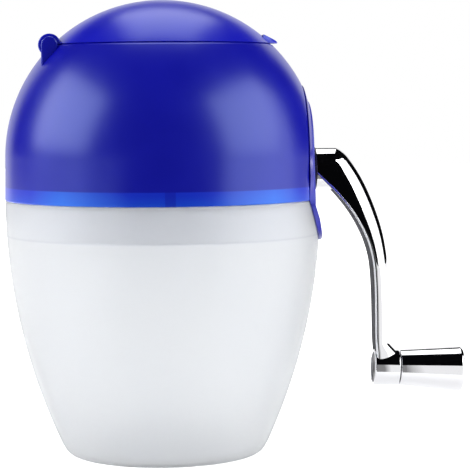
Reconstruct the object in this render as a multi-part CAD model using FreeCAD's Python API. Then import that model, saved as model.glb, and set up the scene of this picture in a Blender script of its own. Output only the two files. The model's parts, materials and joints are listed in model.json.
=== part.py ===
"""Hand-cranked ice crusher: an egg-shaped table machine, about 236 mm tall.

The blue upper half of the egg lifts off the frosted bowl that catches the ice. A lid on top opens
on a hinge, and a chromed crank on the right turns six toothed blades past a fixed comb.

Frame: millimetres, +Z up, the egg's axis is Z, the bowl stands on Z = 0, the crank points to +X,
and the front faces -Y.
"""
import math
import os

import FreeCAD
import Part

V = FreeCAD.Vector

# Egg
DOME_R = 81.8               # outer radius of the round top half
DOME_CENTRE_Z = 154.6       # height of that round's centre
SKIRT_R = 82.2              # outer radius at the blue skirt's lower edge
SKIRT_Z = 133.3             # height of the blue skirt's lower edge
HOUSING_WALL = 2.4
BOWL_ARC_R = 305.0          # the bowl's side is one long arc of this radius
BOWL_R = 82.1               # widest radius of the bowl, just under the skirt
BOWL_WALL = 2.4
BOWL_FLOOR = 3.0
BOWL_FOOT_ROUND = 6.0       # rounding where the side meets the base
SHOULDER_Z = 133.0          # top of the bowl's shoulder, just clear of the skirt
LIP_TOP_Z = 140.4           # top of the bowl's lip, inside the skirt
LIP_R = 79.2
LIP_WALL = 2.2

# Crank-side flat, and the shield that covers it
FLAT_X = 72.8               # the housing is cut flat here
SHIELD_T = 3.6
FLARE_TIP_Z = 110.7         # the shield's lower lip ends at this height
FLARE_TIP_X = 81.0          # and stands this far out there, on its inner side
FLARE_TIP_T = 1.9
FLARE_ROOT_T = 3.4          # the lip's thickness where it leaves the flat part, level with it
FLARE_ROOT_DROP = 2.7       # the flat part ends this far below the skirt's edge
SHIELD_LOW_R = 38.8         # the lower lip's round end, seen from the side
SHIELD_WRAP_R = 83.6        # outer radius that trims the shield's long edges
BOWL_GAP = 0.4              # between the shield's lower lip and the bowl
PEG_R = 2.0
PEG_HOLE_R = 2.2
PEG_PLACES = [(-22, 162), (22, 162), (0, 180)]      # (y, z) of the shield's pegs

# Opening, lid and hinge
SEAM_Z = 213.4              # the lid's joint
OPENING_R = 49.0
LAND_T = 3.8                # depth of the ledge that the lid lies on
LID_EDGE_R = 56.7
LID_WALL = 2.2
LID_RING_R = 48.4           # the ring under the lid that drops into the opening
HINGE_X = -57.9
HINGE_Z = 213.0
BARREL_R = 5.8
BARREL_HALF = 20.0          # half length of the lid's barrel
LUG_R = 4.2
LUG_T = 4.4
PIN_R = 2.0
RUN_GAP = 0.05              # radial clearance of a running fit
LUG_GAP = 0.6               # between the barrel's end and each lug
WEB_DEPTH = 26.0            # the lugs' webs run down into the shell by up to this much
TAB_TIP_X = 60.4
TAB_R = 12.0
TAB_TIP_T = 0.9
TAB_ROOT = (51.8, 218.4)    # (x, z) where the tab's slope meets the cap

# Front rib, which keys the housing to the bowl's lip
RIB_HALF = 2.6
RIB_NOTCH_HALF = 3.2

# Crusher frame
FRAME_SKIRT_R = 76.4
FRAME_SKIRT_WALL = 1.8
FRAME_SKIRT_Z = 114.8       # lower edge of the grey skirt inside the bowl
FLANGE_T = 2.4
CHAMBER_X = 30.0            # inner half width, along the shaft
CHAMBER_Y = 27.0            # inner half depth
CHAMBER_LOW_Z = 118.0
CHAMBER_TOP_Z = 176.0
FRAME_WALL = 2.4
HOPPER_LOW_R = 40.4
HOPPER_TOP_R = 46.4
HOPPER_TOP_Z = 208.0

# Crank shaft and blades
SHAFT_Z = 148.1
SHAFT_R = 4.0
SHAFT_LEFT_X = -44.5
SHAFT_RIGHT_X = 90.0
BUSH_R = 6.0
BOSS_R = 9.0
BOSS_IN_X = 60.0            # the crank-side bearing boss starts here
BOSS_CLEAR = 1.5            # room round that boss in the bowl's lip and the frame's flange
BOSS_NOTCH_Z = 136.5        # the notch for it goes down to this height
FAR_BOSS_X = 40.0           # the far-side boss ends here, at -X
BLADE_COUNT = 6
BLADE_PITCH = 10.0
BLADE_T = 2.0
BLADE_R = 22.5
BLADE_ROOT_R = 10.0
BLADE_SPIKES = 4
BLADE_TWIST_DEG = 30.0      # each blade is turned on from the last by this much
SPACER_R = 7.0
COMB_T = 2.0
COMB_Z = (127.5, 162.0)     # lower and upper edge of the comb's plate
COMB_REACH_Y = 9.0          # the teeth stop this far from the shaft's axis
COMB_ROOT_HALF = 9.0        # half height of a tooth at the plate
COMB_TIP_HALF = 2.0
COMB_SCREW_PLACES = [(-20, 132), (20, 132)]         # (x, z)

# Washer and clip at the shaft's far end
WASHER_R = 7.0
CLIP_R = 6.2
CLIP_T = 1.0
CLIP_MOUTH_HALF = 1.6

# Crank. A lever station is the middle of its flat inner side as (x, z), the crest of its round
# outer side, its half width, and the share of its depth over which its sides are straight.
COLLAR_R = 11.4
COLLAR_X = (76.7, 80.1)
COLLAR_ROUND = 0.6
HUB_R = 11.0
HUB_END_X = 88.6
HUB_UNDER_TOP = 1.5         # the hub's round underside starts this far below its axis
HUB_STATION = ((80.1, 145.4), (80.1, 159.1), 11.0, 0.25)
MITRE_STATION = ((87.0, 138.9), (91.0, 159.1), 11.0, 0.455)
LEVER_STATIONS = [
    MITRE_STATION,
    ((87.6, 138.3), (93.3, 158.1), 11.1, 0.44),
    ((88.1, 137.8), (95.5, 156.5), 11.25, 0.42),
    ((88.6, 137.3), (97.6, 154.1), 11.4, 0.40),
    ((90.8, 135.0), (102.2, 147.6), 11.8, 0.33),
    ((94.3, 131.0), (105.8, 141.3), 12.2, 0.27),
    ((98.2, 126.0), (109.1, 134.2), 12.1, 0.22),
    ((102.2, 119.6), (112.4, 125.8), 11.6, 0.18),
    ((106.5, 110.8), (115.9, 115.0), 10.7, 0.15),
    ((109.0, 102.5), (117.7, 104.8), 10.0, 0.13),
    ((110.2, 95.0), (118.8, 96.4), 9.5, 0.12),
    ((110.9, 79.0), (119.6, 79.3), 8.7, 0.12),
    ((111.0, 60.0), (119.4, 60.0), 8.2, 0.12),
    ((111.5, 52.0), (119.4, 52.0), 8.0, 0.12),
    ((112.0, 44.0), (119.4, 44.0), 7.8, 0.12)]
LEVER_EDGE_ROUND = 1.4
GUSSET = [(117.0, 56.0), (119.2, 54.6), (124.2, 49.4), (124.2, 46.0), (117.0, 46.0)]
GUSSET_HALF = 5.6
LOWER_HUB_R = 9.45
LOWER_HUB_LEN = 13.5
GRIP_AXIS_X = 110.7         # middle of the lower hub's left face
GRIP_AXIS_Z = 42.4
GRIP_DROOP_DEG = 2.3        # the grip leans down by this much towards its free end
GRIP_GAP = 0.4
GRIP_LEN = 33.7
GRIP_R = (9.5, 12.0)        # at the lower hub, and at the free end
GRIP_WALL = 2.0
GRIP_END_ROUND = 1.8
GRIP_NEAR_ROUND = 0.5
GRIP_WEB = 2.5              # the grip's closed end at the lower hub
GRIP_BOLT_R = 3.5
GRIP_CORE_R = 5.6
BOLT_HEAD_R = 8.0
BOLT_HEAD_X = (0.7, 1.6)    # the bolt's head lies in the lower hub, along the grip's axis
BOLT_SHORT = 8.0            # the bolt's end stays this far inside the grip's end
GRIP_WASHER_R = 5.2
GRIP_WASHER_T = 1.0
CAP_T = 2.0
CAP_SINK = 0.2

# Frame screws
SCREW_R = 1.6
SCREW_HEAD_R = 3.2
SCREW_HEAD_T = 2.0
SCREW_HEAD_ROUND = 0.8
CROSS = (4.2, 0.9, 0.9)     # length, width and depth of the head's cross slot
SCREW_ANGLES = [50, 130, 230, 310]
BOSS_RING_R = 69.0
BOSS_TOP_Z = 158.0
POST_R = 4.6
POST_WEB_HALF = 1.5
FRAME_SCREW_REACH = 9.0     # how far a frame screw goes up into its post


def point(r, z):
    """A point of a turned outline: radius along X, height along Z."""
    return V(r, 0, z)


def line(a, b):
    return Part.makeLine(a, b)


def arc(a, middle, b):
    return Part.Arc(a, middle, b).toShape()


def turn(edges):
    """Solid of revolution about the egg's axis from a closed outline."""
    return Part.Face(Part.Wire(edges)).revolve(V(0, 0, 0), V(0, 0, 1), 360)


def turn_corners(corners):
    """Solid of revolution from (radius, height) corners joined by straight lines."""
    pts = [point(r, z) for r, z in corners]
    return turn([line(a, b) for a, b in zip(pts, pts[1:] + pts[:1])])


def box(low, high):
    size = [b - a for a, b in zip(low, high)]
    return Part.makeBox(*size, V(*low))


def rod(radius, start, end):
    """Cylinder between two points."""
    a = V(*start)
    along = V(*end) - a
    return Part.makeCylinder(radius, along.Length, a, along)


def prism_y(corners, half_width):
    """A side-view outline of (x, z) corners, made solid from -half_width to +half_width in Y."""
    pts = [V(x, -half_width, z) for x, z in corners]
    return Part.Face(Part.makePolygon(pts + pts[:1])).extrude(V(0, 2 * half_width, 0))


def join(first, *rest):
    return first.fuse(list(rest)).removeSplitter()


def trim(solid, *tools):
    return solid.cut(list(tools))


def only_solid(shape):
    """The single solid of a result, as its own shape."""
    solids = sorted(shape.Solids, key=lambda s: s.Volume)
    return solids[-1]


def dome(inset=0.0):
    """The upper egg, moved inwards by inset: half a ball on a short, slightly flared skirt."""
    r = DOME_R - inset
    slope = math.sqrt(0.5)
    top = point(0, DOME_CENTRE_Z + r)
    shoulder = point(r * slope, DOME_CENTRE_Z + r * slope)
    side = point(r, DOME_CENTRE_Z)
    skirt = point(SKIRT_R - inset, SKIRT_Z)
    foot = point(0, SKIRT_Z)
    return turn([arc(top, shoulder, side), line(side, skirt), line(skirt, foot), line(foot, top)])


def bowl_radius(z, inset=0.0):
    """Radius of the bowl's long arc at a height."""
    r = BOWL_ARC_R - inset
    return BOWL_R - BOWL_ARC_R + math.sqrt(r * r - (SHOULDER_Z - z) ** 2)


def bowl_block(low_z, top_z, inset, foot_round):
    """Solid egg bottom between two heights, moved inwards by inset, with a rounded lower edge."""
    low = point(bowl_radius(low_z, inset), low_z)
    mid_z = (low_z + top_z) / 2
    middle = point(bowl_radius(mid_z, inset), mid_z)
    high = point(bowl_radius(top_z, inset), top_z)
    outline = [line(point(0, low_z), low), arc(low, middle, high),
               line(high, point(0, top_z)), line(point(0, top_z), point(0, low_z))]
    solid = turn(outline)
    edges = [e for e in solid.Edges if e.BoundBox.ZMax < low_z + 0.1 and e.BoundBox.XMax > 1]
    return solid.makeFillet(foot_round, edges)


def beyond_flat(offset=0.0, flared=False):
    """The space outside the crank-side flat, moved by offset. Flared, it follows the shield's lip."""
    far = 200.0
    x = FLAT_X + offset
    if not flared:
        return box((x, -far, -10), (far, far, 300))
    slope = (FLARE_TIP_X - FLAT_X) / (SKIRT_Z - FLARE_TIP_Z)
    run_out_z = 60.0
    run_out_x = x + slope * (SKIRT_Z - run_out_z)
    return prism_y([(x, 300), (x, SKIRT_Z), (run_out_x, run_out_z), (far, run_out_z), (far, 300)], far)


def crank_notch(gap, low_z, inner_x):
    """Clears the crank-side bearing boss out of the bowl's lip or the frame's flange."""
    half = BOSS_R + gap
    return box((inner_x, -half, low_z), (FLAT_X + 5, half, LIP_TOP_Z + 12))


def bowl():
    """Frosted bowl: egg bottom, shoulder, and a lip that the housing's skirt goes over."""
    outer = trim(bowl_block(0, SHOULDER_Z, 0, BOWL_FOOT_ROUND), beyond_flat(-BOWL_GAP, True))
    inner = trim(bowl_block(BOWL_FLOOR, SHOULDER_Z - BOWL_WALL, BOWL_WALL, BOWL_FOOT_ROUND - 1),
                 beyond_flat(-BOWL_GAP - BOWL_WALL, True))
    lip_flat = -HOUSING_WALL - BOWL_GAP
    lip = trim(rod(LIP_R, (0, 0, SHOULDER_Z - BOWL_WALL), (0, 0, LIP_TOP_Z)), beyond_flat(lip_flat))
    lip_bore = trim(rod(LIP_R - LIP_WALL, (0, 0, SHOULDER_Z - BOWL_WALL), (0, 0, LIP_TOP_Z)),
                    beyond_flat(lip_flat - LIP_WALL))
    front_notch = box((-RIB_NOTCH_HALF, -LIP_R - 1, SHOULDER_Z + 0.8),
                      (RIB_NOTCH_HALF, -LIP_R + 4, LIP_TOP_Z + 1))
    boss_notch = crank_notch(BOSS_CLEAR, BOSS_NOTCH_Z, 55)
    body = trim(join(outer, lip), inner, lip_bore, front_notch, boss_notch)
    return only_solid(body)


def housing():
    """Blue top shell with the opening, hinge lugs, bearing boss and four screw bosses."""
    cavity = trim(dome(HOUSING_WALL), beyond_flat(-HOUSING_WALL))
    shell = trim(dome(), beyond_flat(), cavity, rod(DOME_R, (0, 0, SEAM_Z), (0, 0, 260)))
    land_low_r = math.sqrt(DOME_R ** 2 - (SEAM_Z - LAND_T - DOME_CENTRE_Z) ** 2) - 1
    land_top_r = math.sqrt(DOME_R ** 2 - (SEAM_Z - DOME_CENTRE_Z) ** 2) - 1
    land = turn_corners([(OPENING_R, SEAM_Z - LAND_T), (land_low_r, SEAM_Z - LAND_T),
                         (land_top_r, SEAM_Z), (OPENING_R, SEAM_Z)])
    added = [land, trim(rod(BOSS_R, (BOSS_IN_X, 0, SHAFT_Z), (FLAT_X, 0, SHAFT_Z)),
                        beyond_flat())]
    inner_ball = Part.makeSphere(DOME_R - HOUSING_WALL + 0.3, V(0, 0, DOME_CENTRE_Z))
    for side in (-1, 1):
        y0 = side * (BARREL_HALF + LUG_GAP)
        y1 = y0 + side * LUG_T
        eye = rod(LUG_R, (HINGE_X, y0, HINGE_Z), (HINGE_X, y1, HINGE_Z))
        web = box((HINGE_X - LUG_R, min(y0, y1), HINGE_Z - WEB_DEPTH),
                  (HINGE_X + LUG_R, max(y0, y1), HINGE_Z))
        foot = trim(web, inner_ball)
        added.append(only_solid(foot))
        added.append(eye)
    low_z = LIP_TOP_Z + FLANGE_T
    wall_ball = Part.makeSphere(DOME_R - 1, V(0, 0, DOME_CENTRE_Z))
    for angle in SCREW_ANGLES:
        centre = on_ring(BOSS_RING_R, angle, low_z)
        post = rod(POST_R, centre, centre + V(0, 0, BOSS_TOP_Z - low_z))
        web = box((BOSS_RING_R, -POST_WEB_HALF, low_z), (DOME_R, POST_WEB_HALF, BOSS_TOP_Z))
        web.rotate(V(0, 0, 0), V(0, 0, 1), angle)
        added += [post, web.common(wall_ball)]
    rib = box((-RIB_HALF, -SKIRT_R + 1, SHOULDER_Z + 1.2), (RIB_HALF, -LIP_R + 1.6, LIP_TOP_Z))
    solid = join(shell, *added, rib)
    cuts = [rod(BUSH_R, (BOSS_IN_X - 1, 0, SHAFT_Z), (FLAT_X + 1, 0, SHAFT_Z)),
            rod(BARREL_R + 0.5, (HINGE_X, -BARREL_HALF - 0.4, HINGE_Z),
                (HINGE_X, BARREL_HALF + 0.4, HINGE_Z)),
            rod(PIN_R, (HINGE_X, -pin_half(), HINGE_Z), (HINGE_X, pin_half(), HINGE_Z))]
    cuts += [rod(SCREW_R, p, p + V(0, 0, FRAME_SCREW_REACH + 2)) for p in screw_points(low_z)]
    cuts += [rod(PEG_HOLE_R, (FLAT_X - 5, y, z), (FLAT_X + 1, y, z)) for y, z in PEG_PLACES]
    return only_solid(trim(solid, *cuts))


def on_ring(radius, angle_deg, z):
    a = math.radians(angle_deg)
    return V(radius * math.cos(a), radius * math.sin(a), z)


def screw_points(z):
    return [on_ring(BOSS_RING_R, angle, z) for angle in SCREW_ANGLES]


def pin_half():
    """Half length of the hinge pin, which ends inside both lugs."""
    return BARREL_HALF + LUG_GAP + LUG_T - 1.0


def shield():
    """Blue cover over the crank-side flat. Its lower lip flares out over the bowl."""
    far_z = 200.0
    half = 60.0
    low_x = FLARE_TIP_X + FLARE_TIP_T
    slope = (FLARE_TIP_X - FLAT_X) / (SKIRT_Z - FLARE_TIP_Z)
    low_z = FLARE_TIP_Z - 2
    inner_low_x = FLARE_TIP_X + 2 * slope
    plate = prism_y([(FLAT_X, far_z), (FLAT_X, SKIRT_Z), (inner_low_x, low_z), (low_x + 0.4, low_z),
                     (low_x, FLARE_TIP_Z), (low_x - FLARE_ROOT_T, SKIRT_Z - 10),
                     (FLAT_X + SHIELD_T, SKIRT_Z - FLARE_ROOT_DROP), (FLAT_X + SHIELD_T, far_z)], half)
    wrap = join(dome(), rod(SHIELD_WRAP_R, (0, 0, FLARE_TIP_Z - 5), (0, 0, SKIRT_Z)))
    low_centre_z = FLARE_TIP_Z + SHIELD_LOW_R
    outline = join(rod(SHIELD_LOW_R, (half, 0, low_centre_z), (95, 0, low_centre_z)),
                   box((half, -45, low_centre_z), (95, 45, far_z)))
    plate = only_solid(plate.common(wrap).common(outline))
    pegs = [rod(PEG_R, (FLAT_X - 4, y, z), (FLAT_X + 0.5, y, z)) for y, z in PEG_PLACES]
    plate = join(plate, *pegs)
    return only_solid(trim(plate, rod(BUSH_R, (FLAT_X - 1, 0, SHAFT_Z), (90, 0, SHAFT_Z))))


def crusher_frame():
    """Grey inner moulding: hopper, chamber, flange that sits on the bowl's lip, and the skirt."""
    flat = -HOUSING_WALL - BOWL_GAP
    skirt_flat = flat - LIP_WALL - 0.6
    flange = trim(rod(LIP_R, (0, 0, LIP_TOP_Z), (0, 0, LIP_TOP_Z + FLANGE_T)), beyond_flat(flat))
    skirt_out = trim(rod(FRAME_SKIRT_R, (0, 0, FRAME_SKIRT_Z), (0, 0, LIP_TOP_Z + 1)),
                     beyond_flat(skirt_flat))
    skirt_in = trim(rod(FRAME_SKIRT_R - FRAME_SKIRT_WALL, (0, 0, FRAME_SKIRT_Z - 1), (0, 0, LIP_TOP_Z)),
                    beyond_flat(skirt_flat - FRAME_SKIRT_WALL))
    wall = FRAME_WALL
    hopper = turn_corners([(0, CHAMBER_TOP_Z - wall), (HOPPER_LOW_R + wall, CHAMBER_TOP_Z - wall),
                           (HOPPER_TOP_R + 2, HOPPER_TOP_Z), (0, HOPPER_TOP_Z)])
    hopper_in = turn_corners([(0, CHAMBER_TOP_Z), (HOPPER_LOW_R, CHAMBER_TOP_Z),
                              (HOPPER_TOP_R, HOPPER_TOP_Z + 0.1), (0, HOPPER_TOP_Z + 0.1)])
    chamber = box((-CHAMBER_X - wall, -CHAMBER_Y - wall, CHAMBER_LOW_Z),
                  (CHAMBER_X + wall, CHAMBER_Y + wall, CHAMBER_TOP_Z))
    chamber_in = box((-CHAMBER_X, -CHAMBER_Y, CHAMBER_LOW_Z - 1), (CHAMBER_X, CHAMBER_Y, CHAMBER_TOP_Z + 1))
    far_boss = rod(BOSS_R, (-FAR_BOSS_X, 0, SHAFT_Z), (-CHAMBER_X, 0, SHAFT_Z))
    rib_half = 1.2
    rib_end = FRAME_SKIRT_R - 2.4
    rib_z = (LIP_TOP_Z - 8, LIP_TOP_Z + 1)
    ribs = [box((-rib_half, -rib_end, rib_z[0]), (rib_half, -CHAMBER_Y, rib_z[1])),
            box((-rib_half, CHAMBER_Y, rib_z[0]), (rib_half, rib_end, rib_z[1])),
            box((-rib_end, -rib_half, rib_z[0]), (-CHAMBER_X, rib_half, rib_z[1]))]
    ring_only = rod(FRAME_SKIRT_R - 0.5, (0, 0, 100), (0, 0, 160))
    ribs = [rib.common(ring_only) for rib in ribs]
    solid = join(flange, trim(skirt_out, skirt_in), hopper, chamber, far_boss, *ribs)
    cuts = [hopper_in, chamber_in,
            rod(BUSH_R, (-FAR_BOSS_X - 1, 0, SHAFT_Z), (-CHAMBER_X + 1, 0, SHAFT_Z)),
            rod(SHAFT_R + 1.2, (CHAMBER_X - 1, 0, SHAFT_Z), (CHAMBER_X + 4, 0, SHAFT_Z)),
            crank_notch(BOSS_CLEAR, BOSS_NOTCH_Z, CHAMBER_X + wall),
            box((-FAR_BOSS_X - 8, -BOSS_R, LIP_TOP_Z - 9), (-FAR_BOSS_X, BOSS_R, LIP_TOP_Z + 8))]
    low_z = LIP_TOP_Z
    cuts += [rod(SCREW_R, p - V(0, 0, 1), p + V(0, 0, FLANGE_T + 1)) for p in screw_points(low_z)]
    cuts += [rod(SCREW_R, (x, -CHAMBER_Y - wall - 1, z), (x, -CHAMBER_Y + 1, z))
             for x, z in COMB_SCREW_PLACES]
    return only_solid(trim(solid, *cuts))


def lid():
    """Blue cap of the egg with its barrel, finger tab and the ring that locates it."""
    cap = trim(Part.makeSphere(DOME_R, V(0, 0, DOME_CENTRE_Z)),
               Part.makeSphere(DOME_R - LID_WALL, V(0, 0, DOME_CENTRE_Z)))
    cap = cap.common(rod(LID_EDGE_R, (0, 0, SEAM_Z), (0, 0, 260)))
    inner_ball = Part.makeSphere(DOME_R - 1, V(0, 0, DOME_CENTRE_Z))
    ring = trim(rod(LID_RING_R, (0, 0, SEAM_Z - 4), (0, 0, 225)),
                rod(LID_RING_R - 1.8, (0, 0, SEAM_Z - 5), (0, 0, 226))).common(inner_ball)
    barrel = rod(BARREL_R, (HINGE_X, -BARREL_HALF, HINGE_Z), (HINGE_X, BARREL_HALF, HINGE_Z))
    tab_low = SEAM_Z + 0.2
    tab_side = prism_y([(TAB_ROOT[0] - 1.8, tab_low), (TAB_TIP_X, tab_low),
                        (TAB_TIP_X, tab_low + TAB_TIP_T), TAB_ROOT], TAB_R)
    tab = tab_side.common(rod(TAB_R, (TAB_TIP_X - TAB_R, 0, 205), (TAB_TIP_X - TAB_R, 0, 225)))
    solid = join(only_solid(cap), ring, barrel, tab)
    cuts = [rod(PIN_R + RUN_GAP, (HINGE_X, -30, HINGE_Z), (HINGE_X, 30, HINGE_Z))]
    for side in (-1, 1):
        y0 = side * BARREL_HALF
        y1 = y0 + side * (LUG_T + LUG_GAP + 0.8)
        cuts.append(rod(LUG_R + 0.8, (HINGE_X, y0, HINGE_Z), (HINGE_X, y1, HINGE_Z)))
    return only_solid(trim(solid, *cuts))


def hinge_pin():
    return rod(PIN_R, (HINGE_X, -pin_half(), HINGE_Z), (HINGE_X, pin_half(), HINGE_Z))


def bush(x0, x1):
    """Plain bearing: pressed into its boss, with a running fit on the shaft."""
    return trim(rod(BUSH_R, (x0, 0, SHAFT_Z), (x1, 0, SHAFT_Z)),
                rod(SHAFT_R + RUN_GAP, (x0 - 1, 0, SHAFT_Z), (x1 + 1, 0, SHAFT_Z)))


def hexagon(x0, x1):
    """The shaft's milled part, with its corners on the round part's surface."""
    pts = []
    for i in range(7):
        a = math.radians(60 * i)
        pts.append(V(x0, SHAFT_R * math.cos(a), SHAFT_Z + SHAFT_R * math.sin(a)))
    return Part.Face(Part.makePolygon(pts)).extrude(V(x1 - x0, 0, 0))


def blade_x(i):
    return (i - (BLADE_COUNT - 1) / 2) * BLADE_PITCH


def rotor_shaft():
    half = blade_x(BLADE_COUNT - 1) + BLADE_T / 2
    left = rod(SHAFT_R, (SHAFT_LEFT_X, 0, SHAFT_Z), (-half, 0, SHAFT_Z))
    right = rod(SHAFT_R, (half, 0, SHAFT_Z), (SHAFT_RIGHT_X, 0, SHAFT_Z))
    groove_x = SHAFT_LEFT_X + 2
    groove = trim(rod(SHAFT_R + 1, (groove_x, 0, SHAFT_Z), (groove_x + CLIP_T, 0, SHAFT_Z)),
                  rod(SHAFT_R - 1, (groove_x, 0, SHAFT_Z), (groove_x + CLIP_T, 0, SHAFT_Z)))
    return only_solid(trim(join(left, hexagon(-half, half), right), groove))


def rotor_blade(i):
    """Star blade whose spikes lean the way the crank drives them."""
    x = blade_x(i) - BLADE_T / 2
    pts = []
    step = 360 / BLADE_SPIKES
    for k in range(BLADE_SPIKES):
        start = k * step + i * BLADE_TWIST_DEG
        for angle, radius in ((0, BLADE_ROOT_R), (28, BLADE_R), (34, BLADE_R - 2), (42, BLADE_ROOT_R)):
            a = math.radians(start + angle)
            pts.append(V(x, radius * math.cos(a), SHAFT_Z + radius * math.sin(a)))
    star = Part.Face(Part.makePolygon(pts + pts[:1])).extrude(V(BLADE_T, 0, 0))
    return only_solid(trim(star, hexagon(x - 1, x + BLADE_T + 1)))


def blade_spacers():
    """Five sleeves that keep the blades apart."""
    rings = []
    for i in range(BLADE_COUNT - 1):
        x0 = blade_x(i) + BLADE_T / 2
        x1 = blade_x(i + 1) - BLADE_T / 2
        rings.append(trim(rod(SPACER_R, (x0, 0, SHAFT_Z), (x1, 0, SHAFT_Z)), hexagon(x0 - 1, x1 + 1)))
    return Part.makeCompound([only_solid(ring) for ring in rings])


def fixed_comb():
    """Steel plate on the chamber's front wall, with one tooth between each pair of blades."""
    back = -CHAMBER_Y
    plate = box((-CHAMBER_X + 1, back, COMB_Z[0]), (CHAMBER_X - 1, back + COMB_T, COMB_Z[1]))
    teeth = []
    for i in range(BLADE_COUNT - 1):
        x = (blade_x(i) + blade_x(i + 1)) / 2
        low_x = x - COMB_T / 2
        corners = [V(low_x, back + 0.5, SHAFT_Z - COMB_ROOT_HALF),
                   V(low_x, -COMB_REACH_Y, SHAFT_Z - COMB_TIP_HALF),
                   V(low_x, -COMB_REACH_Y, SHAFT_Z + COMB_TIP_HALF),
                   V(low_x, back + 0.5, SHAFT_Z + COMB_ROOT_HALF)]
        teeth.append(Part.Face(Part.makePolygon(corners + corners[:1])).extrude(V(COMB_T, 0, 0)))
    holes = [rod(SCREW_R, (x, back - 1, z), (x, back + COMB_T + 1, z)) for x, z in COMB_SCREW_PLACES]
    return only_solid(trim(join(plate, *teeth), *holes))


def screw(head_at, direction, shank_len):
    """Pan-head screw: head behind head_at, shank along direction."""
    along = V(*direction)
    base = V(*head_at)
    shank = Part.makeCylinder(SCREW_R, shank_len, base, along)
    head = Part.makeCylinder(SCREW_HEAD_R, SCREW_HEAD_T, base - along * SCREW_HEAD_T, along)
    rim = [e for e in head.Edges if (e.CenterOfMass - (base - along * SCREW_HEAD_T)).Length < 0.01]
    head = head.makeFillet(SCREW_HEAD_ROUND, [e for e in rim if e.Length > 1])
    length, width, depth = CROSS
    slot_centre = base - along * SCREW_HEAD_T
    cross = [Part.makeBox(length, width, depth, V(-length / 2, -width / 2, 0)),
             Part.makeBox(width, length, depth, V(-width / 2, -length / 2, 0))]
    place = FreeCAD.Placement(slot_centre, FreeCAD.Rotation(V(0, 0, 1), along))
    for part in cross:
        part.Placement = place.multiply(part.Placement)
    return only_solid(trim(join(shank, head), *cross))


def comb_screws():
    y = -CHAMBER_Y - FRAME_WALL
    return Part.makeCompound([screw((x, y, z), (0, 1, 0), FRAME_WALL + COMB_T)
                              for x, z in COMB_SCREW_PLACES])


def frame_screws():
    reach = FLANGE_T + FRAME_SCREW_REACH
    return Part.makeCompound([screw(p, (0, 0, 1), reach) for p in screw_points(LIP_TOP_Z)])


def shaft_washer():
    x = -FAR_BOSS_X - 0.3
    return trim(rod(WASHER_R, (x - 1.0, 0, SHAFT_Z), (x, 0, SHAFT_Z)),
                rod(SHAFT_R, (x - 2, 0, SHAFT_Z), (x + 1, 0, SHAFT_Z)))


def shaft_clip():
    """Open spring clip that snaps into the shaft's groove."""
    x = SHAFT_LEFT_X + 2
    ring = trim(rod(CLIP_R, (x, 0, SHAFT_Z), (x + CLIP_T, 0, SHAFT_Z)),
                rod(SHAFT_R - 1, (x - 1, 0, SHAFT_Z), (x + 2, 0, SHAFT_Z)))
    mouth = box((x - 1, -CLIP_MOUTH_HALF, SHAFT_Z - CLIP_R - 1), (x + 2, CLIP_MOUTH_HALF, SHAFT_Z))
    return only_solid(trim(ring, mouth))


def shaft_collar():
    x0, x1 = COLLAR_X
    ring = trim(rod(COLLAR_R, (x0, 0, SHAFT_Z), (x1, 0, SHAFT_Z)),
                rod(SHAFT_R, (x0 - 1, 0, SHAFT_Z), (x1 + 1, 0, SHAFT_Z)))
    rims = [e for e in ring.Edges if e.BoundBox.ZMax > SHAFT_Z + COLLAR_R - 0.01 and e.Length > 60]
    return ring.makeFillet(COLLAR_ROUND, rims)


def lever_section(inner, outer, half_width, straight):
    """Outline of the lever: flat inner side, straight sides, and half an ellipse outside."""
    a = V(inner[0], 0, inner[1])
    out = V(outer[0], 0, outer[1]) - a
    across = V(0, half_width, 0)
    spring = a + out * straight
    rise = out * (1 - straight)
    crest = []
    steps = 8
    for k in range(steps + 1):
        t = math.pi * k / steps
        crest.append(spring - across * math.cos(t) + rise * math.sin(t))
    curve = Part.BSplineCurve()
    curve.interpolate(crest)
    return Part.Wire([line(a - across, crest[0]), curve.toShape(), line(crest[-1], a + across),
                      line(a + across, a - across)])


def crank_arm():
    """Chromed casting: upper hub, tapering lever mitred onto it, and lower hub."""
    hub = rod(HUB_R, (COLLAR_X[1], 0, SHAFT_Z), (HUB_END_X, 0, SHAFT_Z))
    upper_half = box((COLLAR_X[1] - 1, -HUB_R - 1, SHAFT_Z - HUB_UNDER_TOP),
                     (HUB_END_X + 1, HUB_R + 1, SHAFT_Z + HUB_R + 1))
    hub = trim(hub, upper_half)
    top = Part.makeLoft([lever_section(*HUB_STATION), lever_section(*MITRE_STATION)], True, True)
    lever = Part.makeLoft([lever_section(*s) for s in LEVER_STATIONS], True, False)
    flat_side = [e for e in lever.Edges if e.Length > 90 and touches_flat(e)]
    lever = lever.makeFillet(LEVER_EDGE_ROUND, flat_side)
    gusset = prism_y(GUSSET, GUSSET_HALF)
    solid = join(hub, top, lever, gusset, lower_hub())
    bores = [rod(SHAFT_R, (COLLAR_X[1] - 1, 0, SHAFT_Z), (SHAFT_RIGHT_X, 0, SHAFT_Z)), grip_bore()]
    return only_solid(trim(solid, *bores))


def touches_flat(edge):
    """True for the lever's two long edges that bound its flat inner side."""
    inner, outer, half_width, straight = LEVER_STATIONS[-1]
    ends = [v.Point for v in edge.Vertexes]
    return any(abs(p.x - inner[0]) < 0.1 and abs(p.z - inner[1]) < 0.1 for p in ends)


def lean(shape):
    """Moves a piece from the grip's own axis (along +X from the origin) to its place."""
    shape.Placement = FreeCAD.Placement(V(GRIP_AXIS_X, 0, GRIP_AXIS_Z),
                                        FreeCAD.Rotation(V(0, 1, 0), GRIP_DROOP_DEG))
    return shape


def lower_hub():
    return lean(rod(LOWER_HUB_R, (0, 0, 0), (LOWER_HUB_LEN, 0, 0)))


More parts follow.
